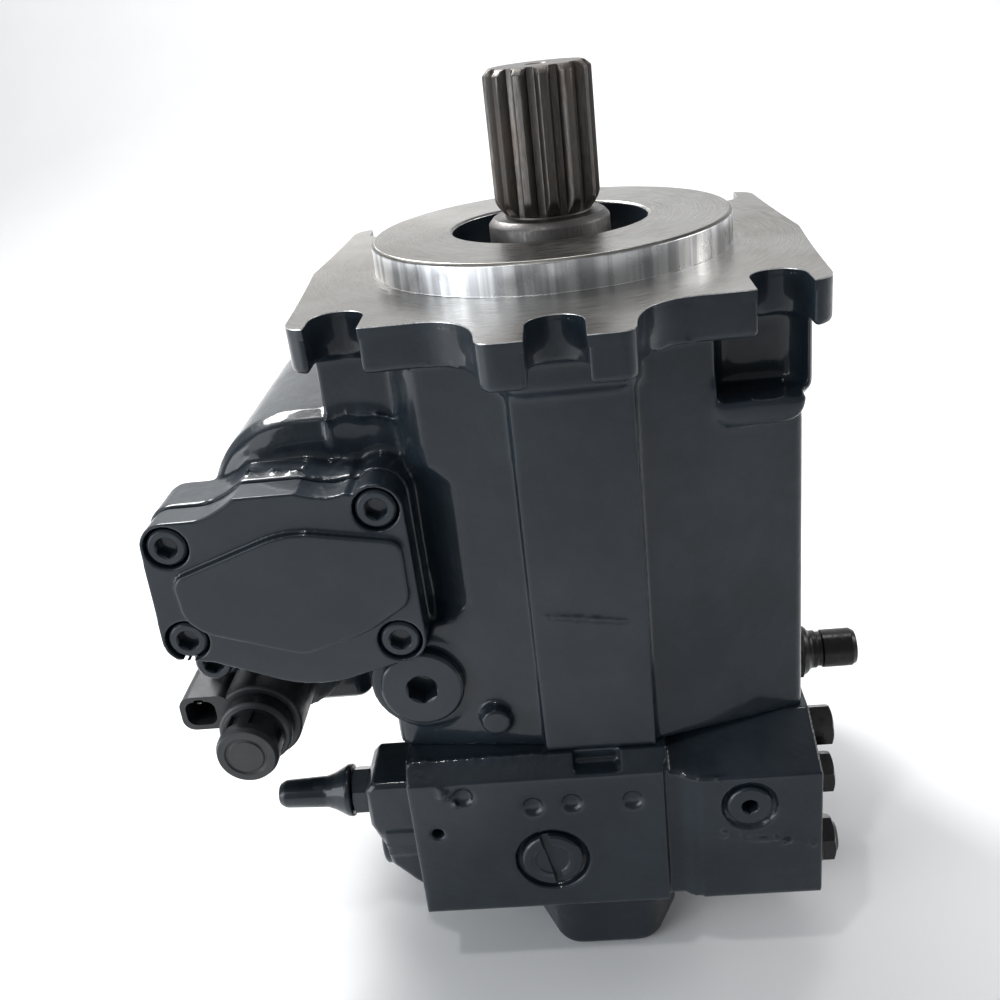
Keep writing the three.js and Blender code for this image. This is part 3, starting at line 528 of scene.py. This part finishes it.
CAST_PAINT = paint("cast_paint", 1.0, 0.36)
SMOOTH_PAINT = paint("smooth_paint", 0.45, 0.38)
FLANGE_METAL = machined("machined_flange")
SHAFT_STEEL = steel("shaft_steel", (0.125, 0.115, 0.108), 0.42)
COLLAR_STEEL = steel("collar_steel", (0.15, 0.143, 0.14), 0.46, stained=0.3)
GROUND_STEEL = steel("ground_steel", (0.5, 0.5, 0.5), 0.22, stained=0.12)
CAST_STEEL = steel("machined_iron", (0.3, 0.3, 0.3), 0.38, stained=0.25)
BRONZE = steel("bronze", (0.55, 0.36, 0.16), 0.3, stain=(0.2, 0.1, 0.04), stained=0.2)
BLACK_STEEL = oxide("black_oxide")
BLACK_PLASTIC = plastic("black_plastic", (0.012, 0.0135, 0.016), 0.42)
RUBBER = plastic("seal_rubber", (0.010, 0.010, 0.011), 0.6, 900)


# ---- housing ------------------------------------------------------------------------------
def flange_outline():
    """The wavy outline of the flange, the same in all four quarters."""
    quarter = [(0, 132.5), (20, 132.5)]
    quarter += curve([(20, 132.5), (27, 132.5), (27, 125)], 8)
    quarter += curve([(27, 125), (28, 108), (36, 97.5), (50, 97.5)], 20)
    quarter += [(69, 97.5)] + curve([(69, 97.5), (75, 97), (78, 92)], 6)
    quarter += [(90, 92)] + curve([(90, 92), (98.5, 91.5), (99.5, 82)], 10)
    quarter += curve([(99.5, 82), (101, 42), (104.6, 0)], 12)
    right = quarter + [(x, -y) for x, y in reversed(quarter[:-1])]
    return right + [(-x, y) for x, y in reversed(right[1:-1])]


def slot_cutters():
    """U-shaped bolt slots, open at the flange's edge."""
    cutters = []
    for side in (-1, 1):
        for x, y in ((0, TWO_BOLT), (-FOUR_BOLT, FOUR_BOLT), (FOUR_BOLT, FOUR_BOLT)):
            start = math.pi if side > 0 else 0
            turn = arc(x, side * y, SLOT_R, start, start + math.pi, 20)
            far = [(x + SLOT_R, side * (y + 30)), (x - SLOT_R, side * (y + 30))]
            points = turn + (far if side > 0 else far[::-1])
            cutters.append(prism("slot", "z", points, 284, FLANGE + 4))
    return cutters


def make_flange_face():
    """The machined top of the flange with the pilot; its rim and the walls of its bore take the
    dark paint.
    """
    plate = prism("flange_face", "z", flange_outline(), FLANGE - 4.5, FLANGE)
    pilot = lathe("pilot", "z", 0, 0, [
        (0, FLANGE - 3), (PILOT_R, FLANGE - 3), (PILOT_R, PILOT_TOP - 1.2),
        (PILOT_R - 1.2, PILOT_TOP), (0, PILOT_TOP)], 0, 160)
    combine(plate, [pilot], "UNION")
    bore = lathe("bore", "z", 0, 0, [
        (0, 295), (PILOT_BORE_R, 295), (PILOT_BORE_R, PILOT_TOP - 1),
        (PILOT_BORE_R + 1.4, PILOT_TOP + 0.4), (0, PILOT_TOP + 0.4)], 0, 96)
    combine(plate, slot_cutters() + [bore])
    edges(plate, 0.35)
    piece(plate, "case", [FLANGE_METAL, SMOOTH_PAINT], "paint", "housing")
    for poly in plate.data.polygons:
        x, y, z = poly.center / MM
        radius = math.hypot(x, y)
        rim = abs(poly.normal.z) < 0.5 and z < FLANGE - 0.4 and radius > PILOT_R + 1
        # The walls of the bore round the shaft take the dark paint, which makes the recess there
        # dark.
        inside = abs(poly.normal.z) < 0.5 and radius < PILOT_BORE_R + 0.2
        poly.material_index = 1 if rim or inside else 0


def housing_soft(x, y, z):
    """How much a point of the housing is rounded like a rough casting, from 0 to 1."""
    if z > 292:
        return 0.0
    if x < -34 and y < -62 and z > 180 and not (x < -62 and y < -83):
        return 1.0
    if z > 250:
        return 1.0 if abs(x) < 45 or x > 50 and y < 0 else 0.6
    if x < -84 and y > -83:
        return 1.0
    return 0.12


def lumps(line, spacing, size, seed, spread):
    """Small half-sunk beads along a line of points, like the rough skin a sand mould leaves."""
    rng = random.Random(seed)
    bm = bmesh.new()
    for a, b in zip(line, line[1:]):
        a, b = Vector(a), Vector(b)
        count = max(1, int((b - a).length / spacing))
        for k in range(count):
            at = a.lerp(b, (k + rng.random()) / count)
            at += Vector([rng.uniform(-spread, spread) for _ in range(3)])
            radius = size * rng.uniform(0.6, 1.15)
            bead = bmesh.ops.create_icosphere(bm, subdivisions=1, radius=radius)
            bmesh.ops.translate(bm, verts=bead["verts"], vec=at)
    return to_object("lumps", bm)


def make_housing():
    """The housing casting; its flange is drawn again, with a finer outline than the CAD's."""
    body = cad_copy("housing_casting", "housing")
    around = [(-200, -200), (200, -200), (200, 200), (-200, 200)]
    combine(body, [prism("top", "z", around, FLANGE - FLANGE_THICK + 1, 400)])
    flange = prism("flange", "z", flange_outline(), FLANGE - FLANGE_THICK, FLANGE - 0.7)
    bores = lathe("bores", "z", 0, 0, [
        (0, 280), (38.2, 280), (38.2, 298), (PILOT_BORE_R, 298), (PILOT_BORE_R, 312), (0, 312)],
        0, 96)
    combine(flange, slot_cutters() + [bores])
    shoulder = [(-96, -69, 266), (-80, -69.5, 266), (-68, -71, 265), (-61, -73, 260),
                (-59, -75, 254)]
    rough = [
        lumps([(-14, -96.9, 184), (19, -96.9, 179)], 1.3, 0.9, 1, 0.3),
        lumps(shoulder, 1.2, 1.5, 2, 1.2),
        lumps([(-66, -72, 264), (-60, -74, 258)], 0.7, 1.4, 3, 2.2),
        lumps([(-128, -79, 248.6), (-104, -79, 248.6)], 1.6, 1.1, 5, 2.0),
        lumps([(60, -84.5, 263), (73, -86, 263), (86, -84.5, 263)], 1.2, 0.9, 6, 0.6),
    ]
    housing = merge("housing_casting", [body, flange, *rough])
    casting(housing, CASTING_VOXEL, 3, HOUSING_FACES, housing_soft, 14)
    piece(housing, "case", CAST_PAINT, "paint", "housing")


# ---- port plate and boost pump cover ------------------------------------------------------
def make_port_plate():
    """The port plate and, under it, the boost pump cover."""
    body = cad_copy("port_plate_casting", "port_plate")
    rough = [
        lumps([(50, -105.0, 76.5), (91, -105.0, 68)], 1.1, 1.4, 8, 1.3),
        lumps([(-66, -104.6, 108), (-60, -104.8, 100)], 1.0, 1.5, 9, 2.0),
        lumps([(42, -104.6, 105), (54, -104.6, 104.5)], 1.6, 1.3, 10, 0.8),
        lumps([(-79, -97.6, SEAM - 0.2), (-22, -97.6, SEAM - 0.2)], 0.8, 1.3, 11, 0.25),
    ]
    plate = casting(merge("port_plate_casting", [body, *rough]), CASTING_VOXEL, 3, PLATE_FACES)
    piece(plate, "case", CAST_PAINT, "paint", "port_plate")
    cover = cad_copy("boost_cover_casting", "boost_pump_cover")
    casting(cover, CASTING_VOXEL, 6, BOOST_COVER_FACES)
    piece(cover, "case", CAST_PAINT, "paint", "boost_pump_cover")


# ---- stroking cylinder cover and its screws -----------------------------------------------
def cover_outline():
    """The stroking cover's outline, from its top left screw round to its bottom left one."""
    r = 10.5
    (tlx, tlz), (trx, trz), (brx, brz), (blx, blz) = COVER_SCREWS
    points = arc(tlx, tlz, r, math.pi, math.pi / 2)
    points += [(-147, tlz + r)] + curve([(-147, tlz + r), (-139, tlz + r), (-128, 247.5)], 8)
    points += [(-104, 247.5)] + curve([(-104, 247.5), (-92, 243), (-85, 246)], 10)
    points += arc(trx, trz, r, 2.4, 0)
    points += arc(brx, brz, r, 0, -1.75)
    points += [(-97, 163.5)] + curve([(-97, 163.5), (-112, 160.5), (-126, 166)], 10)
    points += [(-150, 176)]
    points += arc(blx, blz, r, -2.2, -math.pi)
    return points


def make_stroking_cover():
    """The cover plate with its raised panel and the stub that closes the cylinder."""
    cover = prism("cover_plate", "y", cover_outline(), COVER_FRONT, COVER_BACK - 0.05)
    outline = [(-158, 216), (-115, 231), (-104, 232), (-66, 225), (-66, 198), (-85, 186),
               (-112, 178), (-150, 191), (-157, 198)]
    points = soften(outline, 5, 5, closed=True)
    panel = prism("panel", "y", points, COVER_FRONT - 2.9, COVER_FRONT + 3)
    stub = lathe("stub", "y", STROKE_X, STROKE_Z, [
        (0, COVER_BACK - 3), (STROKE_R - 0.4, COVER_BACK - 3), (STROKE_R - 0.4, -79), (6, -79),
        (6, -27), (0, -27)], 0, 64)
    combine(cover, [panel, stub], "UNION")
    hole = [(0, -120), (9.1, -120), (9.1, COVER_FRONT + 8), (5.3, COVER_FRONT + 8),
            (5.3, COVER_BACK + 5), (0, COVER_BACK + 5)]
    combine(cover, [lathe("hole", "y", x, z, hole, 0, 48) for x, z in COVER_SCREWS])
    casting(cover, 0.62, 5, STROKE_COVER_FACES)
    piece(cover, "case", SMOOTH_PAINT, "paint", "stroking_cover")


def cap_screw(name, x, z, top, head_r, head_h, shank_r, length, socket):
    """A socket-head screw along Y, with its head's top at y = top."""
    end = top + length
    screw = lathe(name, "y", x, z, [
        (0, top), (head_r - 1.1, top), (head_r, top + 1), (head_r, top + head_h - 0.4),
        (head_r - 0.5, top + head_h), (shank_r, top + head_h), (shank_r, end - 1),
        (shank_r - 1, end), (0, end)], 0.3, 48, 2)
    mouth = lathe("mouth", "y", x, z, [
        (0, top - 1), (socket * 0.58 + 1, top - 1), (socket * 0.5, top + 0.9), (0, top + 1.4)],
        0, 36)
    drive = prism("drive", "y", hexagon(socket, x, z), top - 1, top + head_h * 0.6)
    combine(screw, [drive, mouth])
    edges(screw, 0.2)
    return piece(screw, "case", SMOOTH_PAINT, "paint", name.replace("_detail", ""))


def make_screws():
    for i, (x, z) in enumerate(COVER_SCREWS):
        cap_screw(f"cover_screw_{i + 1}_detail", x, z, COVER_FRONT + 0.5, 8, 7.5, 5, 33, 8)
    cap_screw("lug_screw_detail", *LUG_SCREW, LUG_FACE - 7.5, 8, 7.5, 4, 46, 8)


# ---- control valve and solenoid -----------------------------------------------------------
def turned(points, u, v, cos, sin):
    """2D points turned by an angle and moved to (u, v)."""
    return [(u + a * cos - b * sin, v + a * sin + b * cos) for a, b in points]


def make_solenoid():
    """The control valve's body, the solenoid's coil and connector, and the coil's nut."""
    x, z = SOLENOID
    valve = cad_copy("control_valve_casting", "control_valve_body")
    casting(valve, CASTING_VOXEL, 4, VALVE_FACES)
    piece(valve, "case", CAST_PAINT, "paint", "control_valve_body")

    coil = lathe("solenoid_body", "y", x, z, [
        (8.2, -78), (18.1, -78), (19, -77), (19, -41), (18.5, -40.4), (18.4, -38.4), (19, -37.8),
        (19, -36.2), (8.2, -36.2)], 0.4, 72, 3)
    socket = prism("socket", "y", rounded_rect(*CONNECTOR, 5.5), -78, -52)
    shoulder = prism("shoulder", "y", rounded_rect(-159, -148, 126, 146, 3), -76, -50)
    combine(coil, [socket, shoulder], "UNION")
    pocket = prism("pocket", "y", rounded_rect(-177.5, -164, 131, 143, 4), -80, -60)
    keyway = prism("keyway", "y", rounded_rect(-173, -168.6, 142, 144, 0.8, 3), -80, -62)
    combine(coil, [pocket, keyway])
    edges(coil, 0.5)
    piece(coil, "case", BLACK_PLASTIC, "black_plastic", "solenoid_coil")
    for i, at in enumerate((-174, -167.5)):
        outline = rounded_rect(at - 1.2, at + 1.2, 136.6, 137.4, 0.3, 2)
        blade = prism(f"contact_{i + 1}", "y", outline, -70, -59.5)
        edges(blade, 0.12)
        piece(blade, "case", GROUND_STEEL, "steel")

    nut = lathe("solenoid_knob", "y", x, z, [
        (0, -102), (7.4, -102), (7.8, -101.3), (8.9, -101.3), (9.3, -102), (12.4, -102),
        (13.5, -99.6), (13.5, -86.4), (15, -86), (16, -85), (16, -79.6), (15.2, -78.2),
        (7.7, -78.2), (7.7, -38), (0, -38)], 0.35, 80, 3)
    window = [(11.2, -2.8), (17, -3.4), (17, 3.4), (11.2, 2.8)]
    windows = []
    for i in range(8):
        a = (i + 0.5) * math.pi / 4
        points = turned(window, x, z, math.cos(a), math.sin(a))
        windows.append(prism("window", "y", points, -96.4, -87.3))
    combine(nut, windows)
    edges(nut, 0.45)
    piece(nut, "case", BLACK_PLASTIC, "black_plastic", "solenoid_nut")


# ---- drive shaft --------------------------------------------------------------------------
def spline_angles(teeth, root, tip):
    """Angle and radius pairs round an involute spline of 30 degrees pressure angle."""
    pitch = teeth / 8 * 25.4 / 2
    base = pitch * math.cos(math.radians(30))

    def involute(r):
        return math.tan(math.acos(base / r)) - math.acos(base / r)

    def half(r):
        return 2.49 / pitch + involute(pitch) - involute(r)

    flank = (root + 0.55, root + 1.1, pitch - 0.5, pitch, pitch + 0.7, tip - 0.25)
    foot = half(root + 0.3)
    side = [(math.pi / teeth, root), (foot + 0.028, root), (foot, root + 0.22)]
    side += [(half(r), r) for r in flank]
    side += [(half(tip) - 0.006, tip), (half(tip) * 0.4, tip)]
    points = []
    for k in range(teeth):
        middle = 2 * math.pi * k / teeth
        points += [(middle - a, r) for a, r in side]
        points += [(middle + a, r) for a, r in reversed(side[1:])]
    return points


def make_shaft():
    """The drive shaft with its spline, and the lip seal round it."""
    tooth = spline_angles(13, 18.5, 22.22)
    angles = [a for a, r in tooth]
    full = [r for a, r in tooth]

    def plain(r):
        return [r] * len(angles)

    def toothed(count, root, tip):
        return [tip if (a * count / (2 * math.pi)) % 1 < 0.5 else root for a in angles]

    def clipped(limit):
        return [min(r, limit) for r in full]

    block, gear = toothed(8, 17.3, 19.2), toothed(6, 10.3, 11.8)
    rows = [(15, plain(9.5)), (15.8, plain(10.3)), (16.5, plain(10.3)), (16.5, gear), (42, gear),
            (42, plain(10.5)), (44, plain(10.5)), (44, plain(14.2)), (44.8, plain(15)),
            (90, plain(15)), (90, plain(17.4)), (90.6, plain(18)), (116, plain(18)),
            (116.5, plain(17.5)), (156, plain(17.5)), (156, block), (206, block),
            (206, plain(17.5)), (209, plain(17.5)), (211, plain(19)), (262, plain(19)),
            (268, plain(28.6)), (268.6, plain(29)), (279.2, plain(29)), (279.7, plain(28.5)),
            (279.7, plain(26)), (298, plain(26)), (298.2, plain(25.7)),
            (COLLAR_TOP - 2.8, plain(25.7)), (COLLAR_TOP - 2.2, plain(25.4)),
            (COLLAR_TOP - 0.4, plain(23.8)), (COLLAR_TOP, plain(23.2)), (COLLAR_TOP, plain(19.6)),
            (COLLAR_TOP + 0.5, plain(18.5)), (COLLAR_TOP + 1, plain(18.3))]
    for k in range(9):
        t = k / 8
        run_out = 18.3 + 4.1 * math.sin(t * math.pi / 2) ** 0.9
        rows.append((COLLAR_TOP + 1.2 + 8 * t, clipped(run_out)))
    rows += [(COLLAR_TOP + 14 + 8.5 * k, full) for k in range(5)]
    rows += [(SHAFT_TIP - 2.9, full), (SHAFT_TIP - 2.3, clipped(22.0)),
             (SHAFT_TIP - 0.5, clipped(20.0)), (SHAFT_TIP - 0.15, clipped(19.4)),
             (SHAFT_TIP, clipped(18.9)), (SHAFT_TIP, plain(17)), (SHAFT_TIP, plain(4.6)),
             (SHAFT_TIP - 0.6, plain(3.9)), (SHAFT_TIP - 5, plain(0.6))]
    bm = bmesh.new()
    rings = [[bm.verts.new((0, 0, 15))]]
    for z, radii in rows:
        spots = [(r * math.cos(a), r * math.sin(a), z) for a, r in zip(angles, radii)]
        rings.append([bm.verts.new(spot) for spot in spots])
    rings.append([bm.verts.new((0, 0, SHAFT_TIP - 5.4))])
    for low, high in zip(rings, rings[1:]):
        join_rings(bm, low, high)
    shaft = to_object("shaft_detail", bm)
    bpy.context.view_layer.update()
    shade(shaft, 30, weighted=False)
    piece(shaft, "shaft", [SHAFT_STEEL, COLLAR_STEEL], "shaft_steel", "drive_shaft")
    for poly in shaft.data.polygons:
        poly.material_index = 1 if poly.center.z / MM < COLLAR_TOP + 0.7 else 0

    seal = lathe("shaft_seal_detail", "z", 0, 0, [
        (26.4, 302), (26.4, 304.6), (27.4, 306.6), (28.6, 306.8), (30.5, 304.8), (36.5, 304.8),
        (38.6, 306.8), (40.9, 306.8), (40.9, 299.2), (28.5, 299.2), (28.2, 301)], 0.4, 96, 3)
    shade(seal)
    piece(seal, "case", RUBBER, "seal_rubber", "shaft_seal")


# ---- plugs and fittings -------------------------------------------------------------------
def hex_head(axis, u, v, flats, a, b):
    """A hexagon with the rounded corners of a turned bar, from a to b (its outer end)."""
    nut = prism("nut", axis, hexagon(flats, u, v), a, b)
    corner, flat = flats / math.sqrt(3) + 0.05, flats * 0.478
    way = 1 if b > a else -1
    drop = (corner - flat) * 0.5 * way
    shape = lathe("chamfer", axis, u, v, [
        (0, a - way), (corner + 1, a - way), (corner, b - drop), (flat, b), (0, b)], 0, 72)
    return combine(nut, [shape], "INTERSECT")


def socket_cut(obj, axis, u, v, flats, face, depth, way):
    """A hexagon socket with a countersunk mouth; way points into the solid."""
    drive = prism("drive", axis, hexagon(flats, u, v), face - way, face + depth * way)
    mouth = lathe("mouth", axis, u, v, [
        (0, face - 0.5 * way), (flats * 0.58 + 0.5, face - 0.5 * way),
        (flats * 0.5, face + 0.75 * way), (0, face + 1.5 * way)], 0, 48)
    return combine(obj, [drive, mouth])


def make_front_plugs():
    """The case drain plug, and the slotted plug and socket plug of the port plate."""
    x, z = DRAIN
    top = DRAIN_FACE - 4.8
    plug = lathe("drain_plug_detail", "y", x, z, [
        (0, top), (16.2, top), (17.5, top + 1), (17.5, top + 4), (16.9, top + 4.7),
        (12.9, top + 4.7), (12.9, -76), (12.2, -75.2), (0, -75.2)], 0.5, 80, 3)
    socket_cut(plug, "y", x, z, 12, top, 9, 1)
    edges(plug, 0.25)
    piece(plug, "case", SMOOTH_PAINT, "paint", "case_drain_plug")

    x, z = SLOTTED_PLUG
    top = PLATE_FRONT - 0.6
    plug = lathe("slotted_plug_detail", "y", x, z, [
        (0, top + 1.2), (6.9, top + 1.2), (7.6, top + 0.5), (9.6, top), (12.2, top),
        (13.2, top + 0.9), (13.2, top + 3.6), (11.7, top + 3.8), (11.7, top + 18),
        (0, top + 18.6)], 0.35, 80, 3)
    turn = math.radians(12) + math.pi / 2
    slot = [(-20, -1.9), (20, -1.9), (20, 1.9), (-20, 1.9)]
    points = turned(slot, x, z, math.cos(turn), math.sin(turn))
    combine(plug, [prism("drive", "y", points, top - 2, top + 2.7)])
    edges(plug, 0.35)
    piece(plug, "case", SMOOTH_PAINT, "paint", "slotted_plug")

    x, z = SOCKET_PLUG
    top = PLATE_FRONT - 0.3
    plug = lathe("hex_plug_detail", "y", x, z, [
        (0, top), (8.5, top), (9.4, top + 0.9), (9.4, top + 2.2), (7.9, top + 2.4),
        (7.9, top + 16.2), (0, top + 16.2)], 0.35, 64, 3)
    socket_cut(plug, "y", x, z, 6.4, top, 8, 1)
    edges(plug, 0.25)
    piece(plug, "case", SMOOTH_PAINT, "paint", "hex_socket_plug")


def make_left_fittings():
    """The adjusting screw with its nut and cap, and the plug under it."""
    y, z = ADJUSTER
    rod = lathe("adjuster_rod", "x", y, z, [
        (0, -134), (3.4, -134), (4, -133.2), (4, -64.5), (0, -64.5)], 0.2, 40)
    combine(rod, [hex_head("x", y, z, 19, -101.15, -108.9)], "UNION")
    edges(rod, 0.25)
    piece(rod, "case", SMOOTH_PAINT, "paint", "adjusting_screw")
    cap = lathe("adjuster_cap", "x", y, z, [
        (0, -143.5), (4.6, -143.5), (6.2, -140.8), (6.5, -134), (7, -121.5), (8.4, -117.6),
        (11.2, -112.4), (11.6, -111.4), (11.6, -109.35), (4.4, -109.35), (4.4, -135), (0, -135.2)],
        1.0, 64, 4)
    shade(cap)
    piece(cap, "case", SMOOTH_PAINT, "paint", "adjusting_screw_cap")
    y, z = LEFT_PLUG
    plug = lathe("left_plug_detail", "x", y, z, [
        (0, LEFT_PLUG_FACE), (13.6, LEFT_PLUG_FACE), (14.5, -97.6), (14.5, -95.5), (14, -95.1),
        (10.2, -95.1), (10.2, -74.2), (0, -74.2)], 0.4, 72, 3)
    socket_cut(plug, "x", y, z, 10, LEFT_PLUG_FACE, 8, 1)
    edges(plug, 0.25)
    piece(plug, "case", SMOOTH_PAINT, "paint", "left_plug")


def make_right_fittings():
    """The relief valve, the two hexagon plugs and the bypass valve on the port plate."""
    face = PLATE_RIGHT + 0.15
    y, z = RELIEF
    valve = lathe("relief_body", "x", y, z, [
        (0, 80), (9.1, 80), (9.1, 98), (12.4, 98), (12.4, 104), (12.6, 105), (11.4, 107),
        (9.8, 108.4), (9.3, 109.4), (9.3, 111.6), (8.5, 112), (8.5, 114.2), (9.3, 114.6),
        (9.3, 128.6), (8, 130.8), (5.4, 131), (5.4, 128), (0, 128)], 0.3, 64, 3)
    combine(valve, [hex_head("x", y, z, 26, PLATE_RIGHT + 3.15, 105)], "UNION")
    edges(valve, 0.25)
    piece(valve, "case", BLACK_STEEL, "black_steel", "relief_valve")
    for name, (y, z), r, end in SIDE_PLUGS:
        plug = lathe(name + "_detail", "x", y, z, [
            (0, 79.2), (7, 79.2), (7, face), (r + 1.2, face), (r + 1.6, face + 0.5),
            (r + 1.6, face + 2), (r + 1, face + 2.4), (r * 0.9, face + 2.6), (r * 0.9, 99),
            (0, 99)], 0.3, 64, 3)
        combine(plug, [hex_head("x", y, z, 2 * r, face + 2, end)], "UNION")
        socket_cut(plug, "x", y, z, 8, end, 5, -1)
        edges(plug, 0.25)
        piece(plug, "case", BLACK_STEEL, "black_steel", name)
    y, z = BYPASS
    valve = lathe("bypass_body", "x", y, z, [
        (0, 79.2), (8, 79.2), (8, face), (10.5, face), (11, face + 0.5), (11, 95.5), (10.5, 96),
        (8.2, 96.2), (8.2, 101.6), (7.5, 102), (6, 103.5), (0, 103.5)], 0.4, 72, 3)
    combine(valve, [hex_head("x", y, z, 18, 95.9, 102)], "UNION")
    edges(valve, 0.25)
    piece(valve, "case", BLACK_STEEL, "black_steel", "bypass_valve")


# ---- inner parts --------------------------------------------------------------------------
BRONZE_NODES = ("slipper", "valve_plate", "cradle_bearing")
GROUND_NODES = ("piston", "front_bearing", "rear_bearing", "control_spool", "stroking_piston",
                "retaining_plate")


def finish_cad_nodes():
    """Every CAD node that still shows gets a finish that suits its work."""
    for name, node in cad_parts.items():
        if node.hide_render:
            continue
        material = CAST_STEEL
        if name.startswith(BRONZE_NODES):
            material = BRONZE
        elif name.startswith(GROUND_NODES):
            material = GROUND_STEEL
        elif "spring" in name:
            material = SHAFT_STEEL
        node.data.materials.clear()
        node.data.materials.append(material)


# ---- stage --------------------------------------------------------------------------------
BEND_START, BEND_R = 1500, 1200


def make_stage():
    """A floor that bends up into a plain back wall."""
    turn = [math.radians(7.5 * k) for k in range(1, 13)]
    bend = [(BEND_START + BEND_R * math.sin(a), BEND_R - BEND_R * math.cos(a)) for a in turn]
    line = [(-3000, 0), (BEND_START, 0)] + bend + [(BEND_START + BEND_R, 4000)]
    bm = bmesh.new()
    rows = [[bm.verts.new((x, y, z)) for x in (-4500, 4500)] for y, z in line]
    for low, high in zip(rows, rows[1:]):
        bm.faces.new((low[0], low[1], high[1], high[0]))
    floor = smooth(to_object("floor", bm))
    floor.data.materials.append(floor_material())


WHITE = (1, 1, 1)
MIDDLE = (0, 0, 0.2)
# Name, place and target in metres, size in metres, power in watts, colour.
LIGHTS = (
    ("key", (-0.75, 0.75, 1.35), MIDDLE, 0.5, 30, WHITE),
    ("front", (-1.2, -1.2, 1.0), MIDDLE, 0.8, 6, (0.93, 0.97, 1.0)),
    ("left", (-1.5, -0.75, 0.32), MIDDLE, 0.9, 14, (0.90, 0.95, 1.0)),
    ("right", (1.4, 0.2, 0.9), MIDDLE, 0.5, 6, WHITE),
    ("glint", (-0.35, -0.6, 1.5), MIDDLE, 0.08, 3, WHITE),
    ("backdrop", (0, 0.8, 2.4), (0, 2.7, 0.8), 1.4, 55, WHITE),
)
SKY_COLOR = (0.93, 0.96, 1.0, 1)
SKY_STRENGTH = 0.26


def make_lights():
    """Soft area lights and an even sky."""
    for name, at, target, size, power, color in LIGHTS:
        data = bpy.data.lights.new(name, "AREA")
        data.energy = power
        data.color = color
        data.size = size
        light = new_object(name, data)
        light.location = at
        aim = Vector(target) - Vector(at)
        light.rotation_euler = aim.to_track_quat("-Z", "Y").to_euler()
    world = bpy.data.worlds.new("studio")
    bpy.context.scene.world = world
    world.use_nodes = True
    background = world.node_tree.nodes["Background"]
    background.inputs["Color"].default_value = SKY_COLOR
    background.inputs["Strength"].default_value = SKY_STRENGTH


CAMERA_AT = (0.0057, -0.4778, 0.4092)
CAMERA_BACK = (0.0774, -0.908, 0.4118)
CAMERA_RIGHT = (0.9964, 0.0849, 0)
CAMERA_ROLL = math.radians(-6.81)
CAMERA_LENS = 39.92


def make_camera():
    """The camera stands in front, a little to the right, looking down and tilted a little."""
    back = Vector(CAMERA_BACK).normalized()
    right = Vector(CAMERA_RIGHT).normalized()
    up = back.cross(right)
    side = right * math.cos(CAMERA_ROLL) + up * math.sin(CAMERA_ROLL)
    top = up * math.cos(CAMERA_ROLL) - right * math.sin(CAMERA_ROLL)
    data = bpy.data.cameras.new("camera")
    data.lens = CAMERA_LENS
    data.sensor_width = 36
    data.clip_start = 0.01
    camera = new_object("camera", data)
    rows = zip(side, top, back, CAMERA_AT)
    camera.matrix_world = Matrix((*rows, (0, 0, 0, 1)))
    bpy.context.scene.camera = camera


make_camera()
make_housing()
make_flange_face()
make_port_plate()
make_stroking_cover()
make_screws()
make_solenoid()
make_shaft()
make_front_plugs()
make_left_fittings()
make_right_fittings()
finish_cad_nodes()
make_stage()
make_lights()
bpy.context.scene.view_settings.view_transform = "Standard"
